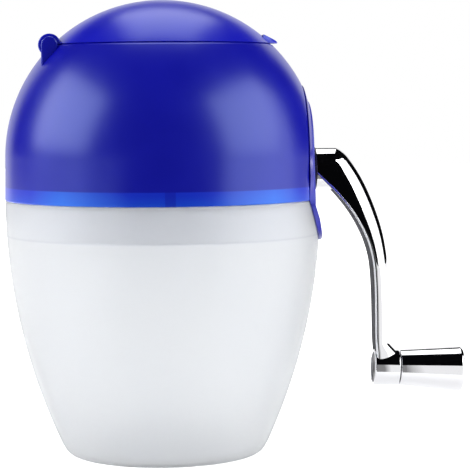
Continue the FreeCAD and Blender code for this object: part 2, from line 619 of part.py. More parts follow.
def grip_bore():
    head_seat = rod(BOLT_HEAD_R, (-1, 0, 0), (BOLT_HEAD_X[1], 0, 0))
    return lean(join(head_seat, rod(GRIP_BOLT_R, (0, 0, 0), (LOWER_HUB_LEN + 1, 0, 0))))


def bolt_end():
    """Where the bolt ends, along the grip's axis."""
    return LOWER_HUB_LEN + GRIP_GAP + GRIP_LEN - BOLT_SHORT


def grip_bolt():
    """Shoulder bolt that the grip turns on, with its flat dark head in the lower hub."""
    end = bolt_end()
    head = rod(BOLT_HEAD_R, (BOLT_HEAD_X[0], 0, 0), (BOLT_HEAD_X[1], 0, 0))
    shank = rod(GRIP_BOLT_R, (BOLT_HEAD_X[1], 0, 0), (end, 0, 0))
    thread_hole = rod(SCREW_R, (end - 8, 0, 0), (end + 1, 0, 0))
    return lean(only_solid(trim(join(head, shank), thread_hole)))


def cone_x(r0, r1, x0, x1):
    return Part.makeCone(r0, r1, x1 - x0, V(x0, 0, 0), V(1, 0, 0))


def grip():
    """Hollow cone that turns on the bolt: outer skin, inner sleeve, and a web at the hub end."""
    x0 = LOWER_HUB_LEN + GRIP_GAP
    x1 = x0 + GRIP_LEN
    skin = cone_x(GRIP_R[0], GRIP_R[1], x0, x1)
    rims = [e for e in skin.Edges if abs(e.CenterOfMass.x - x1) < 0.01 and e.Length > 60]
    skin = skin.makeFillet(GRIP_END_ROUND, rims)
    near_rim = [e for e in skin.Edges if abs(e.CenterOfMass.x - x0) < 0.01 and e.BoundBox.ZMax > 5]
    skin = skin.makeFillet(GRIP_NEAR_ROUND, near_rim)
    sleeve_end = bolt_end() - 0.5
    hollow = trim(cone_x(GRIP_R[0] - GRIP_WALL, GRIP_R[1] - GRIP_WALL, x0 + GRIP_WEB, x1 - CAP_T),
                  rod(GRIP_CORE_R, (x0, 0, 0), (sleeve_end, 0, 0)))
    seat = rod(GRIP_R[1] - GRIP_WALL, (x1 - CAP_T, 0, 0), (x1 + 1, 0, 0))
    bore = rod(GRIP_BOLT_R + RUN_GAP, (x0 - 1, 0, 0), (sleeve_end + 1, 0, 0))
    return lean(only_solid(trim(skin, hollow, seat, bore)))


def grip_washer():
    """Washer that keeps the grip on the bolt."""
    x = bolt_end()
    return lean(trim(rod(GRIP_WASHER_R, (x, 0, 0), (x + GRIP_WASHER_T, 0, 0)),
                     rod(SCREW_R, (x - 1, 0, 0), (x + 2, 0, 0))))


def grip_screw():
    x = bolt_end() + GRIP_WASHER_T
    return lean(screw((x, 0, 0), (-1, 0, 0), 7.0))


def grip_cap():
    """Disc pressed into the grip's free end."""
    x1 = LOWER_HUB_LEN + GRIP_GAP + GRIP_LEN
    disc = rod(GRIP_R[1] - GRIP_WALL, (x1 - CAP_T, 0, 0), (x1 - CAP_SINK, 0, 0))
    return lean(disc)


def parts():
    nodes = {
        "bowl": bowl(),
        "housing": housing(),
        "crank_shield": shield(),
        "crusher_frame": crusher_frame(),
        "frame_screws": frame_screws(),
        "fixed_comb": fixed_comb(),
        "comb_screws": comb_screws(),
        "crank_side_bush": bush(BOSS_IN_X, FLAT_X + SHIELD_T),
        "far_side_bush": bush(-FAR_BOSS_X, -CHAMBER_X),
        "lid": lid(),
        "lid_hinge_pin": hinge_pin(),
        "rotor_shaft": rotor_shaft(),
        "blade_spacers": blade_spacers(),
        "shaft_washer": shaft_washer(),
        "shaft_clip": shaft_clip(),
        "shaft_collar": shaft_collar(),
        "crank_arm": crank_arm(),
        "grip_bolt": grip_bolt(),
        "grip_washer": grip_washer(),
        "grip_screw": grip_screw(),
        "grip": grip(),
        "grip_cap": grip_cap(),
    }
    for i in range(BLADE_COUNT):
        nodes["rotor_blade_%d" % (i + 1)] = rotor_blade(i)
    return nodes


os.makedirs("parts", exist_ok=True)
for name, shape in parts().items():
    span = shape.BoundBox
    print("%-16s solids %d  valid %s  volume %.1f cm3  x %.1f..%.1f  z %.1f..%.1f" % (
        name, len(shape.Solids), shape.isValid(), shape.Volume / 1000,
        span.XMin, span.XMax, span.ZMin, span.ZMax))
    shape.exportStep("parts/%s.step" % name)
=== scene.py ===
# Hand-cranked ice crusher: a frosted bowl, a blue dome with a hinged lid, and a chromed crank.
import json
import math

import bmesh
import bpy
from mathutils import Matrix, Vector


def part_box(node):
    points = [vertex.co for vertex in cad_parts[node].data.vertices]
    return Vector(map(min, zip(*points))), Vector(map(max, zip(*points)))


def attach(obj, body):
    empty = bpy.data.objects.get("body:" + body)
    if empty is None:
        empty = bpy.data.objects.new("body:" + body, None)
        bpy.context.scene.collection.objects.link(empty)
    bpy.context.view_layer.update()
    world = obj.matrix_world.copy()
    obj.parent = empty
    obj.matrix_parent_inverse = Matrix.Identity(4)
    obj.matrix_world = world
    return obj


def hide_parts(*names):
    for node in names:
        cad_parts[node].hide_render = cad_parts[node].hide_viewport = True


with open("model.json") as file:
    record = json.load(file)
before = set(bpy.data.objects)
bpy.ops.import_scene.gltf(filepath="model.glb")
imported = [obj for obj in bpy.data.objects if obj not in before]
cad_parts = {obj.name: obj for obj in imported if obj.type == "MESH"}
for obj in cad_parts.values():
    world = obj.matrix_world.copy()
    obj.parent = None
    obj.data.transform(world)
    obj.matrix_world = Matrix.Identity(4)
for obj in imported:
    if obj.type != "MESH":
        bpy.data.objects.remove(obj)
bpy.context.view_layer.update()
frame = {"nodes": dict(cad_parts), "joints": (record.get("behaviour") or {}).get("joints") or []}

# Camera: about a metre in front and a little to the left of the machine's axis, just under the
# height of the lid's joint. It looks down by four degrees, as the photograph does.
CAMERA_REACH = 0.994
CAMERA_BEARING = math.radians(2.44)
CAMERA_HEIGHT = 0.1869
LOOK_RIGHT = math.radians(4.6)
LOOK_DOWN = math.radians(4.21)
ROLL = math.radians(-0.39)
LENS_MM = 145.5

forward = Vector((math.sin(LOOK_RIGHT) * math.cos(LOOK_DOWN),
                  math.cos(LOOK_RIGHT) * math.cos(LOOK_DOWN),
                  -math.sin(LOOK_DOWN)))
level_right = Vector((math.cos(LOOK_RIGHT), -math.sin(LOOK_RIGHT), 0))
level_up = level_right.cross(forward)
right = level_right * math.cos(ROLL) + level_up * math.sin(ROLL)
up = level_up * math.cos(ROLL) - level_right * math.sin(ROLL)
camera = bpy.data.objects.new("camera", bpy.data.cameras.new("camera"))
camera.data.lens = LENS_MM
camera.data.sensor_width = 36.0
camera.data.clip_end = 50.0
camera.matrix_world = Matrix((
    (right.x, up.x, -forward.x, -CAMERA_REACH * math.sin(CAMERA_BEARING)),
    (right.y, up.y, -forward.y, -CAMERA_REACH * math.cos(CAMERA_BEARING)),
    (right.z, up.z, -forward.z, CAMERA_HEIGHT),
    (0, 0, 0, 1)))
bpy.context.scene.collection.objects.link(camera)
bpy.context.scene.camera = camera
bpy.context.scene.view_settings.view_transform = "Standard"

# Table and studio: a white table with a bay cut out in front of the machine, three soft boxes,
# and a dark tent with three pale cards that only reflections see. The tent is open behind, so
# that the chrome shows black bands between white ones.
TABLE_HALF = 4.0
BAY_Y = -0.17
BAY_HALF = 0.12
BAY_SPREAD = (0.62, 0.86)
TABLE_WHITE_FROM = 0.25
TABLE_WHITE_AT = 1.1
TABLE_PAPER = (0.96, 0.96, 0.96)
TABLE_OWN = (0.80, 1.0)
TABLE_OWN_IN_CHROME = (0.22, 0.70)
TENT_R = 3.0
TENT_OPEN = math.radians(34)
TENT_OPEN_TOP = math.radians(28)
TENT_FELT = (0.004, 0.004, 0.005)
FILL_LEVEL = 0.42
LAMP_AIM = Vector((0, 0, 0.14))
SOFT_BOXES = {
    "left_box": {"bearing": -82, "height": 25, "reach": 1.3, "size": (1.25, 0.95), "level": 3.8},
    "right_box": {"bearing": 66, "height": 23, "reach": 1.4, "size": (1.25, 1.12), "level": 3.4},
    "top_box": {"bearing": 175, "height": 65, "reach": 1.3, "size": (0.74, 1.00), "level": 2.3},
}
CARDS = {
    "card_in_front": {"foot": ((0.092, -0.100), (0.210, -0.100)), "heights": (0.0, 0.080),
                      "levels": (0.28, 1.03), "between_x": (0.127, 0.140)},
    "card_right_low": {"foot": ((0.956, -1.110), (1.464, 0.032)), "heights": (0.0, 0.22),
                       "levels": (1.7, 1.7), "between_x": (0.0, 1.0)},
    "card_right_back": {"foot": ((1.464, 0.032), (1.512, 0.371)), "heights": (0.0, 1.15),
                        "levels": (1.7, 1.7), "between_x": (0.0, 1.0)},
}


def new_material(name):
    """A fresh material with an empty node tree."""
    material = bpy.data.materials.new(name)
    material.use_nodes = True
    material.node_tree.nodes.clear()
    return material


def add_node(tree, kind, settings=None, **inputs):
    """A node with its settings and inputs. An input is a value or another node's output."""
    node = tree.nodes.new(kind)
    for key, value in (settings or {}).items():
        setattr(node, key, value)
    for key, value in inputs.items():
        socket = node.inputs[int(key[1:])] if key[0] == "i" and key[1:].isdigit() else \
            node.inputs[key.replace("_", " ")]
        if isinstance(value, bpy.types.NodeSocket):
            tree.links.new(value, socket)
        else:
            socket.default_value = value
    return node


def mesh_object(name, mesh):
    """An object for a mesh, put in the scene at the origin."""
    piece = bpy.data.objects.new(name, mesh)
    bpy.context.scene.collection.objects.link(piece)
    return piece


def work_out(tree, operation, first, second=0.0):
    """The result of one sum on two values, each a number or another node's output."""
    node = add_node(tree, "ShaderNodeMath", {"operation": operation}, i0=first, i1=second)
    return node.outputs[0]


def map_range(tree, value, low, high, at_low, at_high):
    """Maps a value from one range to another, and holds it at the ends."""
    node = add_node(tree, "ShaderNodeMapRange", i0=value, i1=low, i2=high, i3=at_low, i4=at_high)
    return node.outputs[0]


def own_place(tree):
    """The X, Y and Z of a point in its own object."""
    where = add_node(tree, "ShaderNodeTexCoord")
    return add_node(tree, "ShaderNodeSeparateXYZ", Vector=where.outputs["Object"]).outputs


def seen_as_background(tree, path):
    """One for the rays that see the backdrop: from the camera, mirrored, or let through."""
    seen = work_out(tree, "MAXIMUM", path.outputs["Is Camera Ray"], path.outputs["Is Glossy Ray"])
    return work_out(tree, "MAXIMUM", seen, path.outputs["Is Transmission Ray"])


world = bpy.data.worlds.new("studio")
world.use_nodes = True
world.node_tree.nodes.clear()
tree = world.node_tree
seen = seen_as_background(tree, add_node(tree, "ShaderNodeLightPath"))
white = add_node(tree, "ShaderNodeBackground", Color=(1, 1, 1, 1),
                 Strength=map_range(tree, seen, 0.0, 1.0, FILL_LEVEL, 1.0))
add_node(tree, "ShaderNodeOutputWorld", Surface=white.outputs[0])
bpy.context.scene.world = world

table_mesh = bpy.data.meshes.new("table")
bay_left, bay_right = [BAY_HALF + spread * (TABLE_HALF + BAY_Y) for spread in BAY_SPREAD]
table_mesh.from_pydata([(-TABLE_HALF, -TABLE_HALF, 0), (-bay_left, -TABLE_HALF, 0),
                        (-BAY_HALF, BAY_Y, 0), (BAY_HALF, BAY_Y, 0), (bay_right, -TABLE_HALF, 0),
                        (TABLE_HALF, -TABLE_HALF, 0), (TABLE_HALF, TABLE_HALF, 0),
                        (-TABLE_HALF, TABLE_HALF, 0)],
                       [], [(0, 1, 2, 7), (2, 3, 6, 7), (3, 4, 5, 6)])
table = mesh_object("table", table_mesh)
paper = new_material("white_paper")
tree = paper.node_tree
path = add_node(tree, "ShaderNodeLightPath")
where = add_node(tree, "ShaderNodeTexCoord")
far = add_node(tree, "ShaderNodeVectorMath", {"operation": "LENGTH"}, i0=where.outputs["Object"])
plain, in_chrome = [map_range(tree, far.outputs["Value"], TABLE_WHITE_FROM, TABLE_WHITE_AT, *ends)
                    for ends in (TABLE_OWN, TABLE_OWN_IN_CHROME)]
own_level = add_node(tree, "ShaderNodeMix", i0=path.outputs["Is Glossy Ray"], i2=plain,
                     i3=in_chrome)
matt = add_node(tree, "ShaderNodeBsdfDiffuse", Color=(*TABLE_PAPER, 1))
own = add_node(tree, "ShaderNodeEmission", Color=(1, 1, 1, 1), Strength=own_level.outputs[0])
both = add_node(tree, "ShaderNodeAddShader", i0=matt.outputs[0], i1=own.outputs[0])
pick = add_node(tree, "ShaderNodeMixShader", i0=seen_as_background(tree, path),
                i1=matt.outputs[0], i2=both.outputs[0])
add_node(tree, "ShaderNodeOutputMaterial", Surface=pick.outputs[0])
table_mesh.materials.append(paper)

tent_mesh = bpy.data.meshes.new("tent")
bm = bmesh.new()
bmesh.ops.create_uvsphere(bm, u_segments=72, v_segments=36, radius=TENT_R)
gone = []
for face in bm.faces:
    centre = face.calc_center_median()
    bearing = math.atan2(centre.x, centre.y)
    height = math.asin(centre.z / centre.length)
    if abs(bearing) < TENT_OPEN and height < TENT_OPEN_TOP:
        gone.append(face)
bmesh.ops.delete(bm, geom=gone, context="FACES")
bm.to_mesh(tent_mesh)
bm.free()
tent = mesh_object("tent", tent_mesh)
felt = new_material("black_felt")
tree = felt.node_tree
dark = add_node(tree, "ShaderNodeBsdfDiffuse", Color=(*TENT_FELT, 1))
add_node(tree, "ShaderNodeOutputMaterial", Surface=dark.outputs[0])
tent_mesh.materials.append(felt)


def stage_for_reflections(piece):
    """Hides a piece from every ray but the chrome's and the plastic's reflections."""
    for ray in ("camera", "diffuse", "transmission", "shadow", "volume_scatter"):
        setattr(piece, "visible_" + ray, False)


stage_for_reflections(tent)
for name, card in CARDS.items():
    card_mesh = bpy.data.meshes.new(name)
    low, high = card["heights"]
    (x0, y0), (x1, y1) = card["foot"]
    card_mesh.from_pydata([(x0, y0, low), (x1, y1, low), (x1, y1, high), (x0, y0, high)], [],
                          [(0, 1, 2, 3)])
    pale = new_material(name)
    tree = pale.node_tree
    level = map_range(tree, own_place(tree)["X"], *card["between_x"], *card["levels"])
    shine = add_node(tree, "ShaderNodeEmission", Strength=level)
    add_node(tree, "ShaderNodeOutputMaterial", Surface=shine.outputs[0])
    card_mesh.materials.append(pale)
    stage_for_reflections(mesh_object(name, card_mesh))

for name, box in SOFT_BOXES.items():
    lamp = bpy.data.lights.new(name, "AREA")
    lamp.shape = "RECTANGLE"
    lamp.size, lamp.size_y = box["size"]
    lamp.energy = box["level"] * math.pi * lamp.size * lamp.size_y
    bearing = math.radians(box["bearing"])
    height = math.radians(box["height"])
    away = Vector((math.sin(bearing) * math.cos(height), -math.cos(bearing) * math.cos(height),
                   math.sin(height)))
    holder = bpy.data.objects.new(name, lamp)
    holder.location = LAMP_AIM + away * box["reach"]
    holder.rotation_euler = away.to_track_quat("Z", "Y").to_euler()
    holder.visible_camera = False
    bpy.context.scene.collection.objects.link(holder)

# Bowl: the egg's bottom half, moulded in clear plastic and frosted. The blue dome's skirt goes over
# its stepped lip, and its side is pressed flat under the crank side's cover. A painted shade band
# inside its top stands for the frame's skirt seen through the frosted wall, and ends in a painted
# shade line at the skirt's lower edge.
BOWL_WALL = 0.0024
BOWL_FLOOR = 0.0030
BOWL_SIDE_ARC = 0.305
BOWL_FOOT_ROUND = 0.0060
BOWL_BASE_HOLLOW = 0.0008
LIP_R = 0.0792
LIP_WALL = 0.0022
LIP_STEP = 0.0074
EDGE_ROUND = 0.0005
FOOT_RING_W = 0.0060
BASE_MID_R = 0.030
SIDE_LOW_Z = 0.0042
INNER_LOW_Z = 0.010
BOWL_SIDE_STEPS = 90
BOWL_INNER_STEPS = 70
FLAT_X = 0.0728
FLAT_GAP = 0.0004
LIP_FLAT_SINK = 0.0028
RIB_NOTCH_HALF = 0.0032
RIB_NOTCH_STEP = 0.0008
RIB_NOTCH_IN = 0.004
BOSS_NOTCH_HALF = 0.0105
BOSS_NOTCH_Z = 0.1365
BOSS_NOTCH_IN_X = 0.055
FLARE_TIP_X = 0.0810
PRESS_SOFTNESS = 0.0006
BOWL_TURNS = 288
BOWL_MILK = (0.962, 0.977, 1.0)
BOWL_CLEAR = (0.974, 0.986, 1.0)
# Painted shade of the frame's skirt seen through the wall: a darker band and a dark line under it.
BOWL_SKIRT_SHADE = (0.945, 0.958, 0.980)
BOWL_SKIRT_EDGE_SHADE = (0.74, 0.76, 0.80)
SKIRT_SHADE_EDGE_Z = 0.1152
SKIRT_SHADE_EDGE_HALF = 0.0004
BOWL_CLEARNESS = 0.76
CRISP_ANGLE = math.radians(35)

bowl_low, bowl_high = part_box("bowl")
bowl_r = -bowl_low.x
lip_top_z = bowl_high.z
shoulder_z = lip_top_z - LIP_STEP
skirt_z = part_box("housing")[0].z
flare_tip_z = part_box("crank_shield")[0].z
flare_slope = (FLARE_TIP_X - FLAT_X) / (skirt_z - flare_tip_z)


def round_point(centre, radius, degrees):
    """The point of a circle at one angle."""
    angle = math.radians(degrees)
    return centre[0] + radius * math.cos(angle), centre[1] + radius * math.sin(angle)


def arc_points(centre, radius, start, end, count):
    """Points of an arc about a (radius, height) centre, from one angle to another, in degrees."""
    return [round_point(centre, radius, start + (end - start) * k / count) for k in range(count + 1)]


def bridge(bm, first, second):
    """Faces all the way round between two closed rows of points, one of which may be a point."""
    count = max(len(first), len(second))
    faces = []
    for k in range(count):
        n = (k + 1) % count
        corners = [first[k % len(first)], first[n % len(first)], second[n % len(second)],
                   second[k % len(second)]]
        faces.append(bm.faces.new(list(dict.fromkeys(corners))))
    return faces


def smooth_piece(name, bm):
    """An object from a bmesh, smooth but for the edges that turn sharply."""
    mesh = bpy.data.meshes.new(name)
    bm.to_mesh(mesh)
    bm.free()
    mesh.shade_smooth()
    mesh.set_sharp_from_angle(angle=CRISP_ANGLE)
    return mesh_object(name, mesh)


def turned_skin(name, outline, turns, press=None):
    """A closed outline of (radius, height, depth) points turned round the upright axis. press may
    push a point in: it gets the point and its depth below the outer surface."""
    bm = bmesh.new()
    rings = []
    for radius, z, depth in outline:
        if radius < 1e-7:
            rings.append([bm.verts.new((0, 0, z))])
            continue
        ring = []
        for k in range(turns):
            angle = 2 * math.pi * k / turns
            place = Vector((radius * math.cos(angle), radius * math.sin(angle), z))
            ring.append(bm.verts.new(press(place, depth) if press else place))
        rings.append(ring)
    for a, b in zip(rings, rings[1:] + rings[:1]):
        if len(a) > 1 or len(b) > 1:
            bridge(bm, a, b)
    bmesh.ops.recalc_face_normals(bm, faces=bm.faces)
    return smooth_piece(name, bm)


def soft_least(a, b, softness):
    """The smaller of two numbers, with the corner between them rounded."""
    return 0.5 * (a + b - math.sqrt((a - b) ** 2 + softness ** 2))


def press_bowl(place, depth):
    """Under the shoulder the side is flat behind the cover's flare, and the lip is flat above."""
    if place.z <= shoulder_z + 1e-5:
        limit = FLAT_X - FLAT_GAP + flare_slope * (skirt_z - place.z)
    else:
        limit = FLAT_X - LIP_FLAT_SINK
    x = soft_least(place.x, limit - depth, PRESS_SOFTNESS) if place.x > 0 else place.x
    return Vector((x, place.y, place.z))


def bowl_radius(z, depth=0.0):
    """The side is one long arc that comes upright at the shoulder."""
    return bowl_r - BOWL_SIDE_ARC + math.sqrt((BOWL_SIDE_ARC - depth) ** 2 - (shoulder_z - z) ** 2)


def bowl_outline():
    """Up the outside from the middle of the base, over the lip, and down the inside."""
    foot_r = bowl_radius(0.004) - BOWL_FOOT_ROUND
    ring_in = foot_r - FOOT_RING_W
    outer = [(0, BOWL_BASE_HOLLOW), (BASE_MID_R, BOWL_BASE_HOLLOW),
             (ring_in - 3 * EDGE_ROUND, BOWL_BASE_HOLLOW),
             (ring_in - 2 * EDGE_ROUND, 0.6 * BOWL_BASE_HOLLOW),
             (ring_in - 1.2 * EDGE_ROUND, 0.2 * EDGE_ROUND), (ring_in, 0)]
    outer += arc_points((foot_r, BOWL_FOOT_ROUND), BOWL_FOOT_ROUND, -90, -24, 12)
    for k in range(1, BOWL_SIDE_STEPS + 1):
        z = SIDE_LOW_Z + (shoulder_z - EDGE_ROUND - SIDE_LOW_Z) * k / BOWL_SIDE_STEPS
        outer.append((bowl_radius(z), z))
    outer += arc_points((bowl_r - EDGE_ROUND, shoulder_z - EDGE_ROUND), EDGE_ROUND, 20, 90, 4)
    outer += arc_points((LIP_R + EDGE_ROUND, shoulder_z + EDGE_ROUND), EDGE_ROUND, 270, 180, 3)
    outer.append((LIP_R, shoulder_z + 0.003))
    outer += arc_points((LIP_R - EDGE_ROUND, lip_top_z - EDGE_ROUND), EDGE_ROUND, 0, 90, 3)
    lip_in = LIP_R - LIP_WALL
    inner = arc_points((lip_in + EDGE_ROUND, lip_top_z - EDGE_ROUND), EDGE_ROUND, 90, 180, 3)
    inner += [(lip_in, shoulder_z + 0.002), (lip_in, shoulder_z + 0.0002)]
    inner_high_z = shoulder_z - BOWL_WALL
    for k in range(BOWL_INNER_STEPS + 1):
        z = inner_high_z + (INNER_LOW_Z - inner_high_z) * k / BOWL_INNER_STEPS
        widening = lip_in + EDGE_ROUND * (1 + k)
        inner.append((min(bowl_radius(z, BOWL_WALL), widening), z))
    inner_foot = bowl_radius(0.008, BOWL_WALL) - BOWL_FOOT_ROUND
    inner += arc_points((inner_foot, BOWL_FLOOR + BOWL_FOOT_ROUND), BOWL_FOOT_ROUND, -18, -90, 10)
    inner += [(inner_foot - 0.004, BOWL_FLOOR), (0.028, BOWL_FLOOR), (0, BOWL_FLOOR)]
    skin = [(r, z, 0.0) for r, z in outer]
    return skin + [(r, z, LIP_WALL if z > shoulder_z else BOWL_WALL) for r, z in inner]


def cut_boxes(piece, boxes):
    """Cuts upright boxes, each a (low, high) pair of corners, out of a closed mesh."""
    bm = bmesh.new()
    for low, high in boxes:
        made = bmesh.ops.create_cube(bm, size=1.0)["verts"]
        for vert in made:
            vert.co = Vector([(a + b) / 2 + (b - a) * c for a, b, c in zip(low, high, vert.co)])
    cutter_mesh = bpy.data.meshes.new("cutter")
    bm.to_mesh(cutter_mesh)
    bm.free()
    cutter = mesh_object("cutter", cutter_mesh)
    modifier = piece.modifiers.new("notches", "BOOLEAN")
    modifier.operation = "DIFFERENCE"
    modifier.solver = "MANIFOLD"
    modifier.object = cutter
    evaluated = piece.evaluated_get(bpy.context.evaluated_depsgraph_get())
    mesh = bpy.data.meshes.new_from_object(evaluated)
    piece.modifiers.remove(modifier)
    bpy.data.objects.remove(cutter)
    mesh.materials.clear()
    piece.data = mesh
    mesh.set_sharp_from_angle(angle=CRISP_ANGLE)


bowl = turned_skin("bowl_shell", bowl_outline(), BOWL_TURNS, press_bowl)
cut_top_z = lip_top_z + 0.001
cut_boxes(bowl, [((-RIB_NOTCH_HALF, -LIP_R - 0.001, shoulder_z + RIB_NOTCH_STEP),
                  (RIB_NOTCH_HALF, -LIP_R + RIB_NOTCH_IN, cut_top_z)),
                 ((BOSS_NOTCH_IN_X, -BOSS_NOTCH_HALF, BOSS_NOTCH_Z),
                  (FLAT_X + 0.005, BOSS_NOTCH_HALF, cut_top_z))])


def fine_noise(tree, scale, low, high):
    """Noise on the piece's own coordinates, mapped to a range of values."""
    where = add_node(tree, "ShaderNodeTexCoord")
    noise = add_node(tree, "ShaderNodeTexNoise", Vector=where.outputs["Object"], Scale=scale,
                     Detail=3.0)
    mapped = add_node(tree, "ShaderNodeMapRange", {"interpolation_type": "SMOOTHSTEP"},
                      i0=noise.outputs[0], i1=0.15, i2=0.85, i3=low, i4=high)
    return mapped.outputs[0]


def roughened(tree, strength, height):
    """Surface normals bent by a height pattern that is a tenth of a millimetre deep."""
    return add_node(tree, "ShaderNodeBump", Strength=strength, Distance=0.0001,
                    Height=height).outputs[0]


def blend_colours(tree, share, first, second):
    """Mixes two colours, each a (red, green, blue) value or another node's output."""
    ends = [c if isinstance(c, bpy.types.NodeSocket) else (*c, 1) for c in (first, second)]
    mix = add_node(tree, "ShaderNodeMix", {"data_type": "RGBA"}, i0=share, i6=ends[0], i7=ends[1])
    return mix.outputs[2]


def surface(tree, **inputs):
    """The material's surface, with its looks as values or other nodes' outputs."""
    shader = add_node(tree, "ShaderNodeBsdfPrincipled", **inputs)
    add_node(tree, "ShaderNodeOutputMaterial", Surface=shader.outputs[0])


frosted = new_material("frosted_clear")
tree = frosted.node_tree
height = own_place(tree)["Z"]
# Painted shade: darker above the skirt's lower edge, with a dark line along that edge.
off_skirt_shade_edge = work_out(tree, "ABSOLUTE", work_out(tree, "SUBTRACT", height, SKIRT_SHADE_EDGE_Z))
skirt_shade_share = map_range(tree, height, SKIRT_SHADE_EDGE_Z - SKIRT_SHADE_EDGE_HALF, SKIRT_SHADE_EDGE_Z + SKIRT_SHADE_EDGE_HALF, 0.0, 1.0)
skirt_edge_shade_share = map_range(tree, off_skirt_shade_edge, 0.0, 2 * SKIRT_SHADE_EDGE_HALF, 0.6, 0.0)
tone = blend_colours(tree, fine_noise(tree, 22, 0.0, 1.0), BOWL_MILK, BOWL_CLEAR)
tone = blend_colours(tree, skirt_shade_share, tone, BOWL_SKIRT_SHADE)
tone = blend_colours(tree, skirt_edge_shade_share, tone, BOWL_SKIRT_EDGE_SHADE)
surface(tree, Base_Color=tone, Roughness=fine_noise(tree, 60, 0.40, 0.48), IOR=1.42,
        Transmission_Weight=BOWL_CLEARNESS,
        Normal=roughened(tree, 0.15, fine_noise(tree, 2600, 0.0, 1.0)))
bowl.data.materials.append(frosted)
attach(bowl, "bowl")
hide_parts("bowl")

# Crusher frame: the grey inner moulding with hopper, chamber and skirt. Its flange lies on the
# bowl's lip under the dome, and its skirt shows as a grey band through the frosted wall.
FRAME_GREY = (0.78, 0.80, 0.85)
FRAME_GREY_WORN = (0.73, 0.75, 0.80)


def moulded_plastic(name, colour, second_colour, rough_low, rough_high, grain=0.05, glint=0.5):
    """Opaque moulded plastic: slow colour drift, uneven gloss and a fine spark-eroded grain."""
    material = new_material(name)
    tree = material.node_tree
    surface(tree, Base_Color=blend_colours(tree, fine_noise(tree, 30, 0.0, 1.0), colour, second_colour),
            Roughness=fine_noise(tree, 70, rough_low, rough_high), IOR=1.5,
            Specular_IOR_Level=glint,
            Normal=roughened(tree, grain, fine_noise(tree, 2200, 0.0, 1.0)))
    return material


def finish_node(node, material):
    """Gives a CAD node that stays its own finish."""
    for place in frame["nodes"][node].material_slots:
        place.material = material


frame_grey = moulded_plastic("frame_grey", FRAME_GREY, FRAME_GREY_WORN, 0.42, 0.55, 0.12)
finish_node("crusher_frame", frame_grey)

# Fixed comb, screws, hinge pin, washer and clip: plain steel, stamped, turned or drawn, with the
# faint rolling marks and dulling that such small steel keeps. The bushes are natural acetal.
STEEL = (0.60, 0.61, 0.62)
STEEL_DULL = (0.48, 0.49, 0.51)
GROUND = (0.68, 0.69, 0.70)
GROUND_DULL = (0.55, 0.56, 0.58)
ACETAL = (0.80, 0.80, 0.77)
ACETAL_DULL = (0.74, 0.74, 0.70)


def drawn_marks(tree, stretch, scale, detail):
    """Noise on the piece's own coordinates, drawn out along the axis with a small stretch."""
    where = add_node(tree, "ShaderNodeTexCoord")
    drawn = add_node(tree, "ShaderNodeMapping", Vector=where.outputs["Object"], Scale=stretch)
    return add_node(tree, "ShaderNodeTexNoise", Vector=drawn.outputs[0], Scale=scale,
                    Detail=detail).outputs[0]


def worked_steel(name, colour, dull, rough_low, rough_high, stretch):
    """Steel with marks drawn out along one axis and a patchy dulling."""
    material = new_material(name)
    tree = material.node_tree
    marks = drawn_marks(tree, stretch, 900.0, 4.0)
    surface(tree, Base_Color=blend_colours(tree, fine_noise(tree, 90, 0.0, 1.0), colour, dull),
            Metallic=1.0, Roughness=map_range(tree, marks, 0.3, 0.7, rough_low, rough_high),
            Normal=roughened(tree, 0.08, marks))
    return material


drawn_steel = worked_steel("drawn_steel", STEEL, STEEL_DULL, 0.24, 0.40, (0.1, 1, 1))
ground_steel = worked_steel("ground_steel", GROUND, GROUND_DULL, 0.18, 0.34, (1, 0.08, 1))
acetal = moulded_plastic("acetal", ACETAL, ACETAL_DULL, 0.30, 0.42)
for node in ("frame_screws", "comb_screws", "lid_hinge_pin", "shaft_washer", "shaft_clip",
             "rotor_shaft", "grip_washer", "grip_screw"):
    finish_node(node, drawn_steel)
finish_node("fixed_comb", ground_steel)
finish_node("crank_side_bush", acetal)
finish_node("far_side_bush", acetal)

# Rotor: six stamped star blades threaded on the shaft, each turned on by thirty degrees, with
# turned sleeves between them. The blades' edges are ground, the sleeves are left as turned.
BLADE_COUNT = 6
BLADE_PITCH = 0.010
BLADE_T = 0.0020
BLADE_TIP_R = 0.0225
BLADE_ROOT_R = 0.0100
BLADE_SPIKES = 4
SPIKE_SHAPE = ((0, BLADE_ROOT_R), (14, 0.0148), (28, BLADE_TIP_R), (34, BLADE_TIP_R - 0.002),
               (42, BLADE_ROOT_R), (66, BLADE_ROOT_R))
BLADE_TURN = math.radians(30)
BLADE_BEVEL = 0.00025
SLEEVE_R = 0.0070

joints = {joint["name"]: joint for joint in frame["joints"]}
shaft_z = joints["crank_turn"]["pos_m"][2]


def slab_between(bm, near, far, bevel, segments, corners_too=False):
    """Closes two matching outlines into a slab with its rims rounded, or all of its edges."""
    ends = [bm.faces.new(near[::-1]), bm.faces.new(far)]
    faces = ends + bridge(bm, near, far)
    bmesh.ops.recalc_face_normals(bm, faces=faces)
    rounded = dict.fromkeys(e for f in (faces if corners_too else ends) for e in f.edges)
    bmesh.ops.bevel(bm, geom=list(rounded), offset=bevel, segments=segments, profile=0.5,
                    affect="EDGES", clamp_overlap=True)


def rounded_slab(name, outline, thickness, bevel):
    """A flat outline of (y, z) points, thickness deep along X and centred on X = 0, with its
    edges taken off."""
    bm = bmesh.new()
    near, far = [[bm.verts.new((x, y, z)) for y, z in outline]
                 for x in (-thickness / 2, thickness / 2)]
    slab_between(bm, near, far, bevel, 2, corners_too=True)
    return smooth_piece(name, bm)


